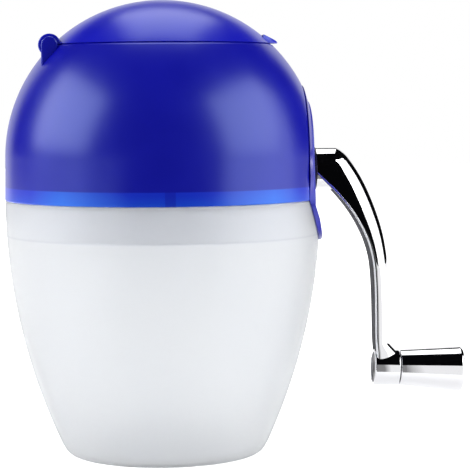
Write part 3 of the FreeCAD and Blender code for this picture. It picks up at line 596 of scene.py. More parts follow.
def threaded_on_shaft(piece, count, start_x, pitch, turn, material):
    """Repeats a piece along the shaft, turning each one on from the last, as one plain mesh."""
    tree = bpy.data.node_groups.new("threaded_on_shaft", "GeometryNodeTree")
    tree.interface.new_socket("Piece", in_out="INPUT", socket_type="NodeSocketGeometry")
    sizes = {"Count": ("NodeSocketInt", count), "Start": ("NodeSocketVector", (start_x, 0, shaft_z)),
             "Pitch": ("NodeSocketVector", (pitch, 0, 0)), "Turn": ("NodeSocketFloat", turn)}
    sockets = {label: tree.interface.new_socket(label, in_out="INPUT", socket_type=kind)
               for label, (kind, value) in sizes.items()}
    tree.interface.new_socket("Stack", in_out="OUTPUT", socket_type="NodeSocketGeometry")
    given = add_node(tree, "NodeGroupInput")
    places = add_node(tree, "GeometryNodeMeshLine", {"mode": "OFFSET"}, Count=given.outputs["Count"],
                      Start_Location=given.outputs["Start"], Offset=given.outputs["Pitch"])
    index = add_node(tree, "GeometryNodeInputIndex")
    angle = work_out(tree, "MULTIPLY", index.outputs[0], given.outputs["Turn"])
    turned = add_node(tree, "ShaderNodeCombineXYZ", X=angle)
    pieces = add_node(tree, "GeometryNodeInstanceOnPoints", Points=places.outputs[0],
                      Instance=given.outputs["Piece"], Rotation=turned.outputs[0])
    real = add_node(tree, "GeometryNodeRealizeInstances", i0=pieces.outputs[0])
    dressed = add_node(tree, "GeometryNodeSetMaterial", Geometry=real.outputs[0], Material=material)
    add_node(tree, "NodeGroupOutput", i0=dressed.outputs[0])
    modifier = piece.modifiers.new("threaded_on_shaft", "NODES")
    modifier.node_group = tree
    for label, (kind, value) in sizes.items():
        modifier[sockets[label].identifier] = value
    evaluated = piece.evaluated_get(bpy.context.evaluated_depsgraph_get())
    mesh = bpy.data.meshes.new_from_object(evaluated)
    piece.modifiers.remove(modifier)
    piece.data = mesh


def star_outline():
    """One spike per quarter turn; its back is steep, so that the tip leads."""
    return [round_point((0, 0), radius, 360 / BLADE_SPIKES * k + angle)
            for k in range(BLADE_SPIKES) for angle, radius in SPIKE_SHAPE]


first_blade_x = -BLADE_PITCH * (BLADE_COUNT - 1) / 2
blades = rounded_slab("rotor_blades", star_outline(), BLADE_T, BLADE_BEVEL)
threaded_on_shaft(blades, BLADE_COUNT, first_blade_x, BLADE_PITCH, BLADE_TURN, ground_steel)
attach(blades, "crank")
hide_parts(*["rotor_blade_%d" % (k + 1) for k in range(BLADE_COUNT)])

sleeve_ring = arc_points((0, 0), SLEEVE_R, 0, 350, 35)
sleeves = rounded_slab("blade_sleeves", sleeve_ring, BLADE_PITCH - BLADE_T, BLADE_BEVEL)
threaded_on_shaft(sleeves, BLADE_COUNT - 1, first_blade_x + BLADE_PITCH / 2, BLADE_PITCH, 0.0,
                  drawn_steel)
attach(sleeves, "crank")
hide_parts("blade_spacers")

# Housing: the blue upper half of the egg, one translucent plastic moulding with the land for the
# lid, two hinge lugs, the shaft's boss and four screw posts inside. Its skirt carries a painted glow,
# a brighter azure where the bowl's lip stands behind it and light would come through, and a painted
# shade bar where the rib stands behind it.
DOME_R = 0.0818
DOME_WALL = 0.0024
OPENING_R = 0.0490
OPENING_ROUND = 0.0004
LAND_T = 0.0038
SEAM_Z = 0.2134
SKIRT_R = 0.08217
SEAM_ROUND = 0.0009
SEAM_ROUND_TURN = 0.8
SKIRT_ROUND = 0.0006
SKIRT_STEPS = 20
DOME_TURNS = 320
HINGE = Vector(joints["lid_hinge"]["pos_m"])
LUG_R = 0.0042
LUG_IN_Y = 0.0206
LUG_OUT_Y = 0.0250
LUG_WEB_DEPTH = 0.0150
LUG_WEB_FOOT = 0.0012
LUG_WEB_REACH = 0.0035
LUG_BEVEL = 0.0009
RIB_HALF = 0.0026
RIB_DEPTH = 0.0028
RIB_LAP = 0.0015
RIB_LOW_GAP = 0.0009
SMALL_BEVEL = 0.0003
BOSS_R = 0.0090
BOSS_IN_X = 0.0600
BOSS_OUT_X = FLAT_X - 0.0006
BUSH_HOLE_R = 0.0060
FLANGE_T = 0.0024
POST_RING_R = 0.0690
POST_R = 0.0046
POST_HOLE_R = 0.0016
POST_TOP_Z = 0.1580
POST_WEB_HALF = 0.0015
POST_WEB_IN_R = POST_RING_R + POST_R - 0.0005
POST_WEB_OUT_R = DOME_R - 0.0015
POST_BEARINGS = (50, 130, 230, 310)
BLUE_GLINT = (0.50, 0.62, 1.0, 1)
BLUE_ROUGH = (0.275, 0.305)
DOME_BLUE = (0.001, 0.001, 0.345)
DOME_BLUE_DEEP = (0.001, 0.001, 0.320)
# Painted glow over the bowl's lip: azure from dim to brightest, and where it rises and falls across the
# sides.
LIP_GLOW_BLUE = (0.001, 0.020, 0.54)
LIP_GLOW_BLUE_BRIGHT = (0.003, 0.138, 0.76)
LIP_GLOW_RISES = (0.020, 0.056)
LIP_GLOW_FALLS = (0.052, 0.068)
RIB_SHADE = 0.50
SOFT_EDGE = 0.0002

dome_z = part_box("lid")[1].z - DOME_R


def press_dome(place, depth):
    """The crank side is flat, so that the cover and the shaft's boss have a seat."""
    x = soft_least(place.x, FLAT_X - depth, PRESS_SOFTNESS) if place.x > 0 else place.x
    return Vector((x, place.y, place.z))


def dome_outline():
    """Out over the land, down the outside to the skirt's edge, and up the inside."""
    seam_angle = math.degrees(math.asin((SEAM_Z - dome_z) / DOME_R))
    seam_r = DOME_R * math.cos(math.radians(seam_angle))
    outer = [(OPENING_R, SEAM_Z - OPENING_ROUND), (OPENING_R + OPENING_ROUND, SEAM_Z),
             (seam_r - 0.003, SEAM_Z), (seam_r - SEAM_ROUND, SEAM_Z),
             (seam_r - 0.45 * SEAM_ROUND, SEAM_Z - 0.12 * SEAM_ROUND),
             (seam_r + 0.05 * SEAM_ROUND, SEAM_Z - 0.5 * SEAM_ROUND)]
    outer += arc_points((0, dome_z), DOME_R, seam_angle - SEAM_ROUND_TURN, 0, 84)
    drop = dome_z - skirt_z
    for share in [k / SKIRT_STEPS for k in range(1, SKIRT_STEPS)]:
        outer.append((DOME_R + (SKIRT_R - DOME_R) * share, dome_z - drop * share))
    outer += arc_points((SKIRT_R - SKIRT_ROUND, skirt_z + SKIRT_ROUND), SKIRT_ROUND, 0, -90, 4)
    skirt_in = SKIRT_R - DOME_WALL
    inner = arc_points((skirt_in + EDGE_ROUND, skirt_z + EDGE_ROUND), EDGE_ROUND, -90, -180, 3)
    inner += [(skirt_in - 0.0001, lip_top_z)]
    land_angle = math.degrees(math.asin((SEAM_Z - LAND_T - dome_z) / (DOME_R - DOME_WALL)))
    inner += arc_points((0, dome_z), DOME_R - DOME_WALL, 0, land_angle, 60)
    inner += [(OPENING_R + 0.001, SEAM_Z - LAND_T), (OPENING_R, SEAM_Z - LAND_T + OPENING_ROUND)]
    return [(r, z, 0.0) for r, z in outer] + [(r, z, DOME_WALL) for r, z in inner]


def lug_outline():
    """Side view of a hinge lug: a round eye on a web that goes down into the shell, as (x, z)."""
    points = arc_points((HINGE.x, HINGE.z), LUG_R, 0, 180, 20)
    low_z = HINGE.z - LUG_WEB_DEPTH
    return points + [(HINGE.x - LUG_R, low_z), (HINGE.x - LUG_R + LUG_WEB_FOOT, low_z),
                     (HINGE.x + LUG_R, HINGE.z - LUG_WEB_REACH)]


def side_slab(bm, outline, low_y, high_y, bevel):
    """Adds a side-view outline of (x, z) points between two depths, with its rims rounded."""
    near, far = [[bm.verts.new((x, y, z)) for x, z in outline] for y in (low_y, high_y)]
    slab_between(bm, near, far, bevel, 3)


def add_to_mesh(piece, build):
    """Adds shapes that build makes in a bmesh to a piece's own mesh."""
    bm = bmesh.new()
    bm.from_mesh(piece.data)
    build(bm)
    bm.to_mesh(piece.data)
    bm.free()
    piece.data.shade_smooth()
    piece.data.set_sharp_from_angle(angle=CRISP_ANGLE)


def upright_box(low, high):
    """The side view of a plain box, from its lowest to its highest (x, z) corner."""
    return [low, (high[0], low[1]), high, (low[0], high[1])]


def lugs_and_rib(bm):
    side_slab(bm, lug_outline(), -LUG_OUT_Y, -LUG_IN_Y, LUG_BEVEL)
    side_slab(bm, lug_outline(), LUG_IN_Y, LUG_OUT_Y, LUG_BEVEL)
    rib_y = -SKIRT_R + RIB_LAP
    rib = upright_box((-RIB_HALF, skirt_z + RIB_LOW_GAP), (RIB_HALF, lip_top_z - 0.0002))
    side_slab(bm, rib, rib_y, rib_y + RIB_DEPTH, SMALL_BEVEL)


def stand_along(mesh, origin, direction):
    """Turns a mesh made round the Z axis so that it stands along a direction from a point."""
    turn = Vector(direction).to_track_quat("Z", "Y").to_matrix().to_4x4()
    mesh.transform(Matrix.Translation(origin) @ turn)


def join_into(piece, *others):
    """Adds other pieces' meshes to one piece's mesh, so that they are one moulding."""
    for other in others:
        add_to_mesh(piece, lambda bm: bm.from_mesh(other.data))
        bpy.data.objects.remove(other)


def turned_piece(name, side, turns):
    """A side outline of (radius, height) points, turned round the Z axis."""
    return turned_skin(name, [(r, z, 0.0) for r, z in side], turns)


def tube(name, outer_r, bore_r, length, turns=48):
    """A plain tube with its edges broken, made round the Z axis from the origin up."""
    edge = SMALL_BEVEL
    side = [(bore_r, 0), (outer_r - edge, 0), (outer_r, edge), (outer_r, length - edge),
            (outer_r - edge, length), (bore_r, length)]
    return turned_piece(name, side, turns)


def screw_posts():
    """Four posts for the frame's screws, each on a web that runs out to the wall."""
    post_low_z = lip_top_z + FLANGE_T
    posts = []
    for bearing in POST_BEARINGS:
        post = tube("post", POST_R, POST_HOLE_R, POST_TOP_Z - post_low_z)
        post.data.transform(Matrix.Translation((POST_RING_R, 0, post_low_z)))
        web = upright_box((POST_WEB_IN_R, post_low_z), (POST_WEB_OUT_R, POST_TOP_Z))
        add_to_mesh(post, lambda bm: side_slab(bm, web, -POST_WEB_HALF, POST_WEB_HALF, SMALL_BEVEL))
        post.data.transform(Matrix.Rotation(math.radians(bearing), 4, "Z"))
        posts.append(post)
    return posts


housing = turned_skin("dome_shell", dome_outline(), DOME_TURNS, press_dome)
add_to_mesh(housing, lugs_and_rib)
boss = tube("boss", BOSS_R, BUSH_HOLE_R, BOSS_OUT_X - BOSS_IN_X, 64)
stand_along(boss.data, (BOSS_IN_X, 0, shaft_z), (1, 0, 0))
join_into(housing, boss, *screw_posts())


def painted_glow_over_lip(tree, tone):
    """Paints a glow of lighter azure over the stretch that covers the bowl's lip, for the light that
    comes through it, brightest towards the sides and lower down. The rib behind it gets a painted
    shade bar in front."""
    place = own_place(tree)
    aside = work_out(tree, "ABSOLUTE", place["X"])
    # Painted glow: brighter lower down and towards the sides.
    lower = map_range(tree, place["Z"], skirt_z, lip_top_z, 0.30, -0.10)
    rising = map_range(tree, aside, *LIP_GLOW_RISES, 0.0, 0.85)
    falling = map_range(tree, aside, *LIP_GLOW_FALLS, 1.0, 0.0)
    lit = work_out(tree, "ADD", lower, work_out(tree, "MULTIPLY", rising, falling))
    azure = blend_colours(tree, lit, LIP_GLOW_BLUE, LIP_GLOW_BLUE_BRIGHT)
    in_front = work_out(tree, "LESS_THAN", place["Y"], 0.0)
    # Painted shade: a darker bar in front where the rib stands behind the skirt.
    rib_shade_share = map_range(tree, aside, RIB_HALF - SOFT_EDGE, RIB_HALF + SOFT_EDGE, RIB_SHADE, 0.0)
    rib_shade_share = work_out(tree, "MULTIPLY", in_front, rib_shade_share)
    azure = blend_colours(tree, rib_shade_share, azure, DOME_BLUE)
    under = map_range(tree, place["Z"], lip_top_z - 1.5 * SOFT_EDGE,
                      lip_top_z + 1.5 * SOFT_EDGE, 1.0, 0.0)
    return blend_colours(tree, under, tone, azure)


def blue_plastic(name, colour, deep, band=False):
    """Satin translucent blue with a bluish shine, and with or without the painted glow and rib shade
    over the lip.
    """
    material = new_material(name)
    tree = material.node_tree
    tone = blend_colours(tree, fine_noise(tree, 60, 0.0, 1.0), deep, colour)
    surface(tree, Base_Color=painted_glow_over_lip(tree, tone) if band else tone,
            Roughness=fine_noise(tree, 60, *BLUE_ROUGH), IOR=1.5, Specular_IOR_Level=0.95,
            Specular_Tint=BLUE_GLINT,
            Normal=roughened(tree, 0.05, fine_noise(tree, 1800, 0.0, 1.0)))
    return material


# The dome's skirt takes the painted glow over the lip and the painted rib shade.
housing.data.materials.append(blue_plastic("dome_blue", DOME_BLUE, DOME_BLUE_DEEP, band=True))
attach(housing, "head")
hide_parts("housing")

# Crank-side cover: a separate plate moulded in blue plastic and pegged to the dome's flat. It
# follows the dome's outline, and its lower lip flares out over the bowl.
COVER_T = 0.0036
COVER_LOW_R = 0.0388
COVER_WRAP_R = 0.0836
COVER_HALF_MAX = 0.0450
COVER_BORE_R = 0.0060
COVER_ROUND = 0.0007
COVER_TURNS = 180
COVER_STEPS = 14
COVER_BACK_ROUND = 0.0003
FLARE_DROP = 0.0027
FLARE_MID = (0.0795, 0.0100)
FLARE_TIP_T = 0.0019
COVER_BLUE = (0.014, 0.006, 0.38)
COVER_BLUE_DEEP = (0.011, 0.005, 0.34)

cover_centre_z = flare_tip_z + COVER_LOW_R


def cover_front_x(z):
    """Outer surface of the plate at a height: upright, then flaring out in two slopes."""
    bends = [(skirt_z - FLARE_DROP, FLAT_X + COVER_T), (skirt_z - FLARE_MID[1], FLARE_MID[0]),
             (flare_tip_z, FLARE_TIP_X + FLARE_TIP_T)]
    if z >= bends[0][0]:
        return bends[0][1]
    for (z0, x0), (z1, x1) in zip(bends, bends[1:]):
        if z >= z1:
            return x0 + (x1 - x0) * (z0 - z) / (z0 - z1)
    return bends[-1][1]


def cover_back_x(z):
    """Inner surface of the plate at a height: on the dome's flat, then along the bowl's."""
    return FLAT_X + flare_slope * max(0.0, skirt_z - z)


def inside_cover(y, z, x):
    """Whether a point lies inside the plate's edge: the dome's outline, its sides or its foot."""
    if z > dome_z:
        wrap = math.sqrt(max(0.0, DOME_R ** 2 - (z - dome_z) ** 2))
    else:
        wrap = DOME_R + (COVER_WRAP_R - DOME_R) * min(1.0, (dome_z - z) / (dome_z - skirt_z))
    if math.hypot(x, y) > wrap or abs(y) > COVER_HALF_MAX:
        return False
    return z > cover_centre_z or math.hypot(y, z - cover_centre_z) < COVER_LOW_R


def cover_reach(angle, side_x):
    """How far the plate goes from the shaft in one direction, on its front or back surface."""
    low, high = COVER_BORE_R, DOME_R
    for step in range(24):
        mid = (low + high) / 2
        y, z = mid * math.cos(angle), shaft_z + mid * math.sin(angle)
        if inside_cover(y, z, side_x(z)):
            low = mid
        else:
            high = mid
    return low


def cover_plate():
    """The plate as rows of points that run out over its front and back in over its back."""
    bm = bmesh.new()
    rows = []
    for turn_step in range(COVER_TURNS):
        angle = 2 * math.pi * turn_step / COVER_TURNS
        front, back = cover_reach(angle, cover_front_x), cover_reach(angle, cover_back_x)
        row = []
        for k in range(COVER_STEPS + 1):
            reach = COVER_BORE_R + (front - COVER_ROUND - COVER_BORE_R) * k / COVER_STEPS
            row.append((reach, 0.0, True))
        for turn in (30, 60, 90):
            a = math.radians(turn)
            row.append((front - COVER_ROUND * (1 - math.sin(a)), COVER_ROUND * (1 - math.cos(a)), True))
        row += [(back, COVER_BACK_ROUND, False), (back - COVER_BACK_ROUND, 0.0, False)]
        row += [(COVER_BORE_R + (back - COVER_BORE_R) * share, 0.0, False) for share in (0.66, 0.33, 0)]
        verts = []
        for reach, sink, is_front in row:
            y, z = reach * math.cos(angle), shaft_z + reach * math.sin(angle)
            x = cover_front_x(z) - sink if is_front else cover_back_x(z) + sink
            verts.append(bm.verts.new((x, y, z)))
        rows.append(verts)
    for a, b in zip(rows, rows[1:] + rows[:1]):
        bridge(bm, a, b)
    bmesh.ops.recalc_face_normals(bm, faces=bm.faces)
    return smooth_piece("crank_side_cover", bm)


cover = cover_plate()
cover.data.materials.append(blue_plastic("cover_blue", COVER_BLUE, COVER_BLUE_DEEP))
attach(cover, "head")
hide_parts("crank_shield")

# Lid: the egg's blue cap, moulded in one with the barrel that turns on the hinge pin, a small
# finger tab on the crank side, and a ring underneath that drops into the opening.
LID_EDGE_R = 0.0567
LID_WALL = 0.0022
LID_RING_R = 0.0484
LID_RING_WALL = 0.0018
LID_RING_LOW_Z = SEAM_Z - 0.0040
LID_RING_ROUND = 0.0004
BARREL_R = 0.0058
BARREL_HALF = 0.0200
BARREL_BORE_R = 0.00205
BARREL_ROUND = 0.0006
TAB_TIP_X = 0.0604
TAB_R = 0.0120
TAB_HALF_ARC = 72
TAB_TIP_T = 0.0009
TAB_ROOT_X = 0.0518
TAB_ROOT_Z = 0.2184
TAB_LOW_Z = SEAM_Z + 0.0002
LID_BLUE = (0.002, 0.003, 0.46)
LID_BLUE_DEEP = (0.002, 0.003, 0.42)


def lid_outline():
    """From the top over the outside to the edge, under it, down round the ring, and up inside."""
    edge_angle = math.degrees(math.acos(LID_EDGE_R / DOME_R))
    outer = arc_points((0, dome_z), DOME_R, 90, edge_angle + 0.7, 60)
    outer += arc_points((0, dome_z), DOME_R, edge_angle + 0.35, edge_angle + 0.12, 1)
    outer[0] = (0, dome_z + DOME_R)
    edge_z = dome_z + DOME_R * math.sin(math.radians(edge_angle))
    outer += [(LID_EDGE_R + 0.0001, edge_z + 0.0001), (LID_EDGE_R - 0.0002, SEAM_Z + 0.00005),
              (LID_EDGE_R - 0.0008, SEAM_Z)]
    inner_r = DOME_R - LID_WALL
    under_angle = math.degrees(math.asin((SEAM_Z - dome_z) / inner_r))
    ring_angle = math.degrees(math.acos(LID_RING_R / inner_r))
    ring_in = LID_RING_R - LID_RING_WALL
    inside_angle = math.degrees(math.acos(ring_in / inner_r))
    inner = [(inner_r * math.cos(math.radians(under_angle)), SEAM_Z)]
    inner += arc_points((0, dome_z), inner_r, under_angle, ring_angle, 6)[1:]
    inner += [(LID_RING_R, LID_RING_LOW_Z + LID_RING_ROUND),
              (LID_RING_R - LID_RING_ROUND, LID_RING_LOW_Z),
              (ring_in + LID_RING_ROUND, LID_RING_LOW_Z), (ring_in, LID_RING_LOW_Z + LID_RING_ROUND)]
    inner += arc_points((0, dome_z), inner_r, inside_angle, 90, 36)
    inner[-1] = (0, dome_z + inner_r)
    return outer + inner


def finger_tab(bm):
    """A thin wedge, round in plan, whose top slopes down to the tip."""
    slope = (TAB_ROOT_Z - TAB_LOW_Z - TAB_TIP_T) / (TAB_TIP_X - TAB_ROOT_X)
    centre_x = TAB_TIP_X - TAB_R
    top, low = [], []
    for x, y in arc_points((centre_x, 0), TAB_R, -TAB_HALF_ARC, TAB_HALF_ARC, 24):
        top.append(bm.verts.new((x, y, TAB_LOW_Z + TAB_TIP_T + slope * (TAB_TIP_X - x))))
        low.append(bm.verts.new((x, y, TAB_LOW_Z)))
    slab_between(bm, low, top, SMALL_BEVEL, 2)


lid = turned_piece("lid_cap", lid_outline(), 256)
round_r, round_z = BARREL_R - BARREL_ROUND, BARREL_HALF - BARREL_ROUND
barrel_side = [(BARREL_BORE_R, -BARREL_HALF)]
barrel_side += arc_points((round_r, -round_z), BARREL_ROUND, -90, 0, 4)
barrel_side += arc_points((round_r, round_z), BARREL_ROUND, 0, 90, 4)
barrel_side += [(BARREL_BORE_R, BARREL_HALF)]
barrel = turned_piece("barrel", barrel_side, 64)
stand_along(barrel.data, HINGE, (0, 1, 0))
join_into(lid, barrel)
add_to_mesh(lid, finger_tab)
lid.data.materials.append(blue_plastic("lid_blue", LID_BLUE, LID_BLUE_DEEP))
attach(lid, "lid")
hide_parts("lid")

# Shaft collar: a dark plastic ring pushed onto the shaft between the cover and the crank. It hides
# the bearing and keeps the crank off the cover, and a shallow groove is turned round it.
COLLAR_R = 0.0114
COLLAR_BORE_R = 0.0040
COLLAR_END_ROUND = 0.0008
COLLAR_GROOVE = (0.0022, 0.0031)
COLLAR_GROOVE_DEPTH = 0.0003
COLLAR_DARK = (0.018, 0.016, 0.05)
COLLAR_DARKER = (0.012, 0.011, 0.035)

collar_low, collar_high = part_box("shaft_collar")
collar_len = collar_high.x - collar_low.x
round_r = COLLAR_R - COLLAR_END_ROUND
groove_r = COLLAR_R - COLLAR_GROOVE_DEPTH
groove_low, groove_high = COLLAR_GROOVE
collar_side = [(COLLAR_BORE_R, 0)]
collar_side += arc_points((round_r, COLLAR_END_ROUND), COLLAR_END_ROUND, -90, 0, 4)
collar_side += [(COLLAR_R, groove_low), (groove_r, groove_low + 0.0002),
                (groove_r, groove_high - 0.0002), (COLLAR_R, groove_high)]
collar_side += arc_points((round_r, collar_len - COLLAR_END_ROUND), COLLAR_END_ROUND, 0, 90, 4)
collar_side += [(COLLAR_BORE_R, collar_len)]
collar = turned_piece("shaft_collar_ring", collar_side, 96)
stand_along(collar.data, (collar_low.x, 0, shaft_z), (1, 0, 0))
collar.data.materials.append(moulded_plastic("collar_dark", COLLAR_DARK, COLLAR_DARKER, 0.22, 0.34))
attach(collar, "crank")
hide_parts("shaft_collar")

# Crank arm: one chromed casting. The half-round hub top meets the lever in a mitre, the lever
# tapers with a flat inner side painted dark grey as the shade of its hollow back, and it flares out
# onto the lower hub.
HUB_R = 0.0110
HUB_END_X = 0.0886
HUB_INSET = 0.00005
HUB_STATION = ((0.0801, 0.1454), (0.0801, 0.1591), 0.0110, 0.25)
MITRE_STATION = ((0.0870, 0.1389), (0.0910, 0.1591), 0.0110, 0.455)
# Each station is a section: its inner and outer (x, z) points, its half width, and the share of
# its depth over which its sides stay straight.
LEVER_STATIONS = [
    MITRE_STATION,
    ((0.0876, 0.1383), (0.0933, 0.1581), 0.0111, 0.44),
    ((0.0881, 0.1378), (0.0955, 0.1565), 0.01125, 0.42),
    ((0.0886, 0.1373), (0.0976, 0.1541), 0.0114, 0.40),
    ((0.0908, 0.1350), (0.1022, 0.1476), 0.0118, 0.33),
    ((0.0943, 0.1310), (0.1058, 0.1413), 0.0122, 0.27),
    ((0.0982, 0.1260), (0.1091, 0.1342), 0.0121, 0.22),
    ((0.1022, 0.1196), (0.1124, 0.1258), 0.0116, 0.18),
    ((0.1065, 0.1108), (0.1159, 0.1150), 0.0107, 0.15),
    ((0.1090, 0.1025), (0.1177, 0.1048), 0.0100, 0.13),
    ((0.1102, 0.0950), (0.1188, 0.0964), 0.0095, 0.12),
    ((0.1109, 0.0790), (0.1196, 0.0793), 0.0087, 0.12),
    ((0.1110, 0.0600), (0.1194, 0.0596), 0.0082, 0.12),
    ((0.1112, 0.0560), (0.1194, 0.0550), 0.0081, 0.12)]
FLARE_STATIONS = [
    ((0.1116, 0.0505), (0.1242, 0.0497), 0.0079, 0.12),
    ((0.1120, 0.0440), (0.1242, 0.0440), 0.0078, 0.12)]
LEVER_ROUND = 0.0014
LOWER_HUB_R = 0.00945
LOWER_HUB_LEN = 0.0135
LOWER_HUB_ROUND = 0.0007
BOLT_SEAT_R = 0.0080
BOLT_SEAT_DEPTH = 0.0016
CHROME = (0.80, 0.80, 0.82)
# Painted shade: the lever's flat inner side is dark grey for the shade in its hollow back.
HOLLOW_SHADE_GREY = (0.070, 0.070, 0.082)
HOLLOW_SHADE_GREY_DULL = (0.050, 0.050, 0.060)
HOLLOW_SHADE_GLINT = 0.10
FLAT_STEPS = 6
SIDE_STEPS = 3
CREST_STEPS = 40

grip_pivot = Vector(joints["grip_turn"]["pos_m"])
grip_axis = Vector(joints["grip_turn"]["axis"])


def lever_ring(inner, outer, half, straight):
    """Points round one section of the lever, starting with the flat inner side."""
    foot = Vector((inner[0], 0, inner[1]))
    out = Vector((outer[0], 0, outer[1])) - foot
    depth = out.length
    rise = max(straight * depth, LEVER_ROUND + 0.0001)
    flat_half = half - LEVER_ROUND
    edge = arc_points((flat_half, LEVER_ROUND), LEVER_ROUND, -90, 0, 4)[1:]
    edge += [(half, LEVER_ROUND + (rise - LEVER_ROUND) * k / SIDE_STEPS) for k in range(1, SIDE_STEPS)]
    profile = [(-flat_half + 2 * flat_half * k / FLAT_STEPS, 0.0) for k in range(FLAT_STEPS + 1)]
    profile += edge
    profile += [(half * math.cos(math.pi * k / CREST_STEPS),
                 rise + (depth - rise) * math.sin(math.pi * k / CREST_STEPS))
                for k in range(CREST_STEPS + 1)]
    profile += [(-y, d) for y, d in edge[::-1]]
    across = Vector((0, 1, 0))
    return [foot + across * y + out * (d / depth) for y, d in profile]


def flat_list(station):
    """A station's numbers in one row, so that stations can be averaged."""
    inner, outer, half, straight = station
    return [*inner, *outer, half, straight]


def station_of(values):
    return ((values[0], values[1]), (values[2], values[3]), values[4], values[5])


def smooth_stations(stations, steps):
    """Stations along a smooth run that starts and ends on the first and last ones given."""
    rows = [flat_list(s) for s in stations]
    first = [2 * a - b for a, b in zip(rows[0], rows[1])]
    last = [2 * a - b for a, b in zip(rows[-1], rows[-2])]
    rows = [first] + rows + [last]
    run = []
    for k in range(len(rows) - 3):
        for step in range(steps):
            t = step / steps
            weights = ((1 - t) ** 3 / 6, (3 * t ** 3 - 6 * t ** 2 + 4) / 6,
                       (-3 * t ** 3 + 3 * t ** 2 + 3 * t + 1) / 6, t ** 3 / 6)
            run.append([sum(w * row[i] for w, row in zip(weights, rows[k:k + 4]))
                        for i in range(6)])
    run.append(rows[-2])
    return [station_of(values) for values in run]


def straight_stations(first, second, steps):
    """Stations along a straight run, without the first one."""
    a, b = flat_list(first), flat_list(second)
    return [station_of([p + (q - p) * k / steps for p, q in zip(a, b)]) for k in range(1, steps + 1)]


def lever_skin():
    """The half-round hub top and the lever as one skin, closed at both ends."""
    stations = [HUB_STATION] + straight_stations(HUB_STATION, MITRE_STATION, 8)
    stations += smooth_stations(LEVER_STATIONS, 12)[1:]
    stations += straight_stations(LEVER_STATIONS[-1], FLARE_STATIONS[0], 8)
    stations += straight_stations(FLARE_STATIONS[0], FLARE_STATIONS[1], 4)
    bm = bmesh.new()
    rings = [[bm.verts.new(p) for p in lever_ring(*station)] for station in stations]
    for a, b in zip(rings, rings[1:]):
        # The flat inner side's faces take the painted shade finish.
        for face in bridge(bm, b, a)[:FLAT_STEPS]:
            face.material_index = 1
    bm.faces.new(rings[0])
    bm.faces.new(rings[-1][::-1])
    bmesh.ops.recalc_face_normals(bm, faces=bm.faces)
    return smooth_piece("crank_lever", bm)


crank_arm = lever_skin()
hub_start_x = HUB_STATION[0][0]
hub_r, hub_len = HUB_R - HUB_INSET, HUB_END_X - hub_start_x
hub = turned_piece("hub", [(0, 0), (hub_r, 0), (hub_r, hub_len), (0, hub_len)], 128)
stand_along(hub.data, (hub_start_x, 0, shaft_z), (1, 0, 0))
lower_side = [(0, BOLT_SEAT_DEPTH), (BOLT_SEAT_R, BOLT_SEAT_DEPTH), (BOLT_SEAT_R, SMALL_BEVEL),
              (BOLT_SEAT_R + SMALL_BEVEL, 0)]
lower_side += arc_points((LOWER_HUB_R - LOWER_HUB_ROUND, LOWER_HUB_ROUND), LOWER_HUB_ROUND, -90, 0, 5)
lower_side += arc_points((LOWER_HUB_R - EDGE_ROUND, LOWER_HUB_LEN - EDGE_ROUND), EDGE_ROUND, 0, 90, 4)
lower_side += [(0, LOWER_HUB_LEN)]
lower = turned_piece("lower_hub", lower_side, 128)
stand_along(lower.data, grip_pivot, grip_axis)
join_into(crank_arm, hub, lower)


def bright_plating(name, colour, rough_low, rough_high):
    """Bright plating: mirror-like, with slow polish marks and hairline scratches."""
    material = new_material(name)
    tree = material.node_tree
    hairlines = drawn_marks(tree, (1, 1, 0.1), 1500.0, 2.0)
    surface(tree, Base_Color=(*colour, 1), Metallic=1.0,
            Roughness=fine_noise(tree, 45, rough_low, rough_high),
            Normal=roughened(tree, 0.01, hairlines))
    return material


chrome = bright_plating("chrome", CHROME, 0.025, 0.06)
# Painted shade for the lever's hollow back, on the second slot.
painted_hollow_shade = moulded_plastic("painted_hollow_shade", HOLLOW_SHADE_GREY, HOLLOW_SHADE_GREY_DULL, 0.55, 0.72, 0.2, HOLLOW_SHADE_GLINT)
crank_arm.data.materials.append(chrome)
crank_arm.data.materials.append(painted_hollow_shade)
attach(crank_arm, "crank")
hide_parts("crank_arm")

# Grip bolt: a blackened steel bolt that the grip turns on. Its flat head lies in a seat in the
# lower hub, and has a shallow turned hollow in the middle.
BOLT_HEAD_R = 0.0078
BOLT_HEAD_FACE = 0.0007
BOLT_R = 0.0035
BOLT_LEN = 0.0396
BOLT_CHAMFER = 0.0004
HEAD_HOLLOW_R = (0.0030, 0.0036)
HEAD_HOLLOW_DEPTH = 0.0004
BOLT_DARK = (0.11, 0.11, 0.12)
BOLT_DARKER = (0.07, 0.07, 0.08)

hollow_z = BOLT_HEAD_FACE + HEAD_HOLLOW_DEPTH
bolt_side = [(0, hollow_z), (HEAD_HOLLOW_R[0], hollow_z), (HEAD_HOLLOW_R[1], BOLT_HEAD_FACE),
             (BOLT_HEAD_R - SMALL_BEVEL, BOLT_HEAD_FACE), (BOLT_HEAD_R, BOLT_HEAD_FACE + SMALL_BEVEL),
             (BOLT_HEAD_R, BOLT_SEAT_DEPTH), (BOLT_R, BOLT_SEAT_DEPTH),
             (BOLT_R, BOLT_LEN - BOLT_CHAMFER), (BOLT_R - BOLT_CHAMFER, BOLT_LEN), (0, BOLT_LEN)]
bolt = turned_piece("grip_bolt_turned", bolt_side, 72)
stand_along(bolt.data, grip_pivot, grip_axis)
bolt.data.materials.append(
    worked_steel("blackened_steel", BOLT_DARK, BOLT_DARKER, 0.28, 0.42, (1, 1, 1)))
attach(bolt, "crank")
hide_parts("grip_bolt")

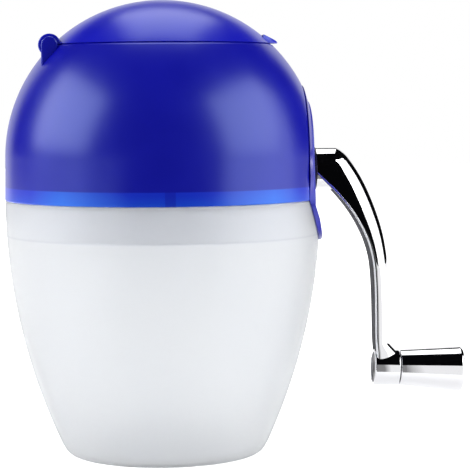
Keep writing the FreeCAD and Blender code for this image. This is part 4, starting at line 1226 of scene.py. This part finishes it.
# Grip: a hollow chromed cone that turns on the bolt, with a rounded free end. A plain disc of dark
# plastic is pressed into that end, over the screw and washer that hold the grip.
GRIP_GAP = 0.0004
GRIP_LEN = 0.03369
GRIP_R = (0.0095, 0.0120)
GRIP_END_ROUND = 0.0018
GRIP_NEAR_ROUND = 0.0005
CAP_R = 0.0100
CAP_T = 0.0020
CAP_SINK = 0.0002
CAP_ROUND = 0.0004
CAP_CROWN_R = 0.0040
CAP_CROWN = 0.0001
CAP_FIT = 0.0001
GRIP_BORE_R = BOLT_R + 0.00005
WASHER_ROOM_R = BOLT_R + 0.0021
CAP_DARK = (0.030, 0.030, 0.034)
CAP_DARKER = (0.022, 0.022, 0.026)

grip_start = LOWER_HUB_LEN + GRIP_GAP
grip_end = grip_start + GRIP_LEN
cap_back = grip_end - CAP_T
washer_seat = BOLT_LEN - 0.0005
cone_lean = math.degrees(math.atan((GRIP_R[1] - GRIP_R[0]) / GRIP_LEN))
grip_side = [(GRIP_BORE_R, grip_start)]
grip_side += arc_points((GRIP_R[0] - GRIP_NEAR_ROUND, grip_start + GRIP_NEAR_ROUND),
                        GRIP_NEAR_ROUND, -90, -cone_lean, 5)
for share in [k / 12 for k in range(1, 12)]:
    grip_side.append((GRIP_R[0] + (GRIP_R[1] - GRIP_R[0]) * share, grip_start + GRIP_LEN * share))
grip_side += arc_points((GRIP_R[1] - GRIP_END_ROUND, grip_end - GRIP_END_ROUND), GRIP_END_ROUND,
                        -cone_lean, 90, 9)
grip_side += [(CAP_R, grip_end), (CAP_R, cap_back), (WASHER_ROOM_R, cap_back),
              (WASHER_ROOM_R, washer_seat), (GRIP_BORE_R, washer_seat)]
grip = turned_piece("grip_cone", grip_side, 160)
stand_along(grip.data, grip_pivot, grip_axis)
grip.data.materials.append(chrome)
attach(grip, "grip")
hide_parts("grip")

cap_top = grip_end - CAP_SINK
cap_rim_r = CAP_R - CAP_FIT
cap_side = [(0, cap_back), (cap_rim_r, cap_back)]
cap_side += arc_points((cap_rim_r - CAP_ROUND, cap_top - CAP_ROUND), CAP_ROUND, 0, 90, 4)
cap_side += [(CAP_CROWN_R, cap_top + 0.8 * CAP_CROWN), (0, cap_top + CAP_CROWN)]
cap = turned_piece("grip_end_disc", cap_side, 96)
stand_along(cap.data, grip_pivot, grip_axis)
cap.data.materials.append(moulded_plastic("cap_dark", CAP_DARK, CAP_DARKER, 0.34, 0.46, 0.1))
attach(cap, "grip")
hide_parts("grip_cap")
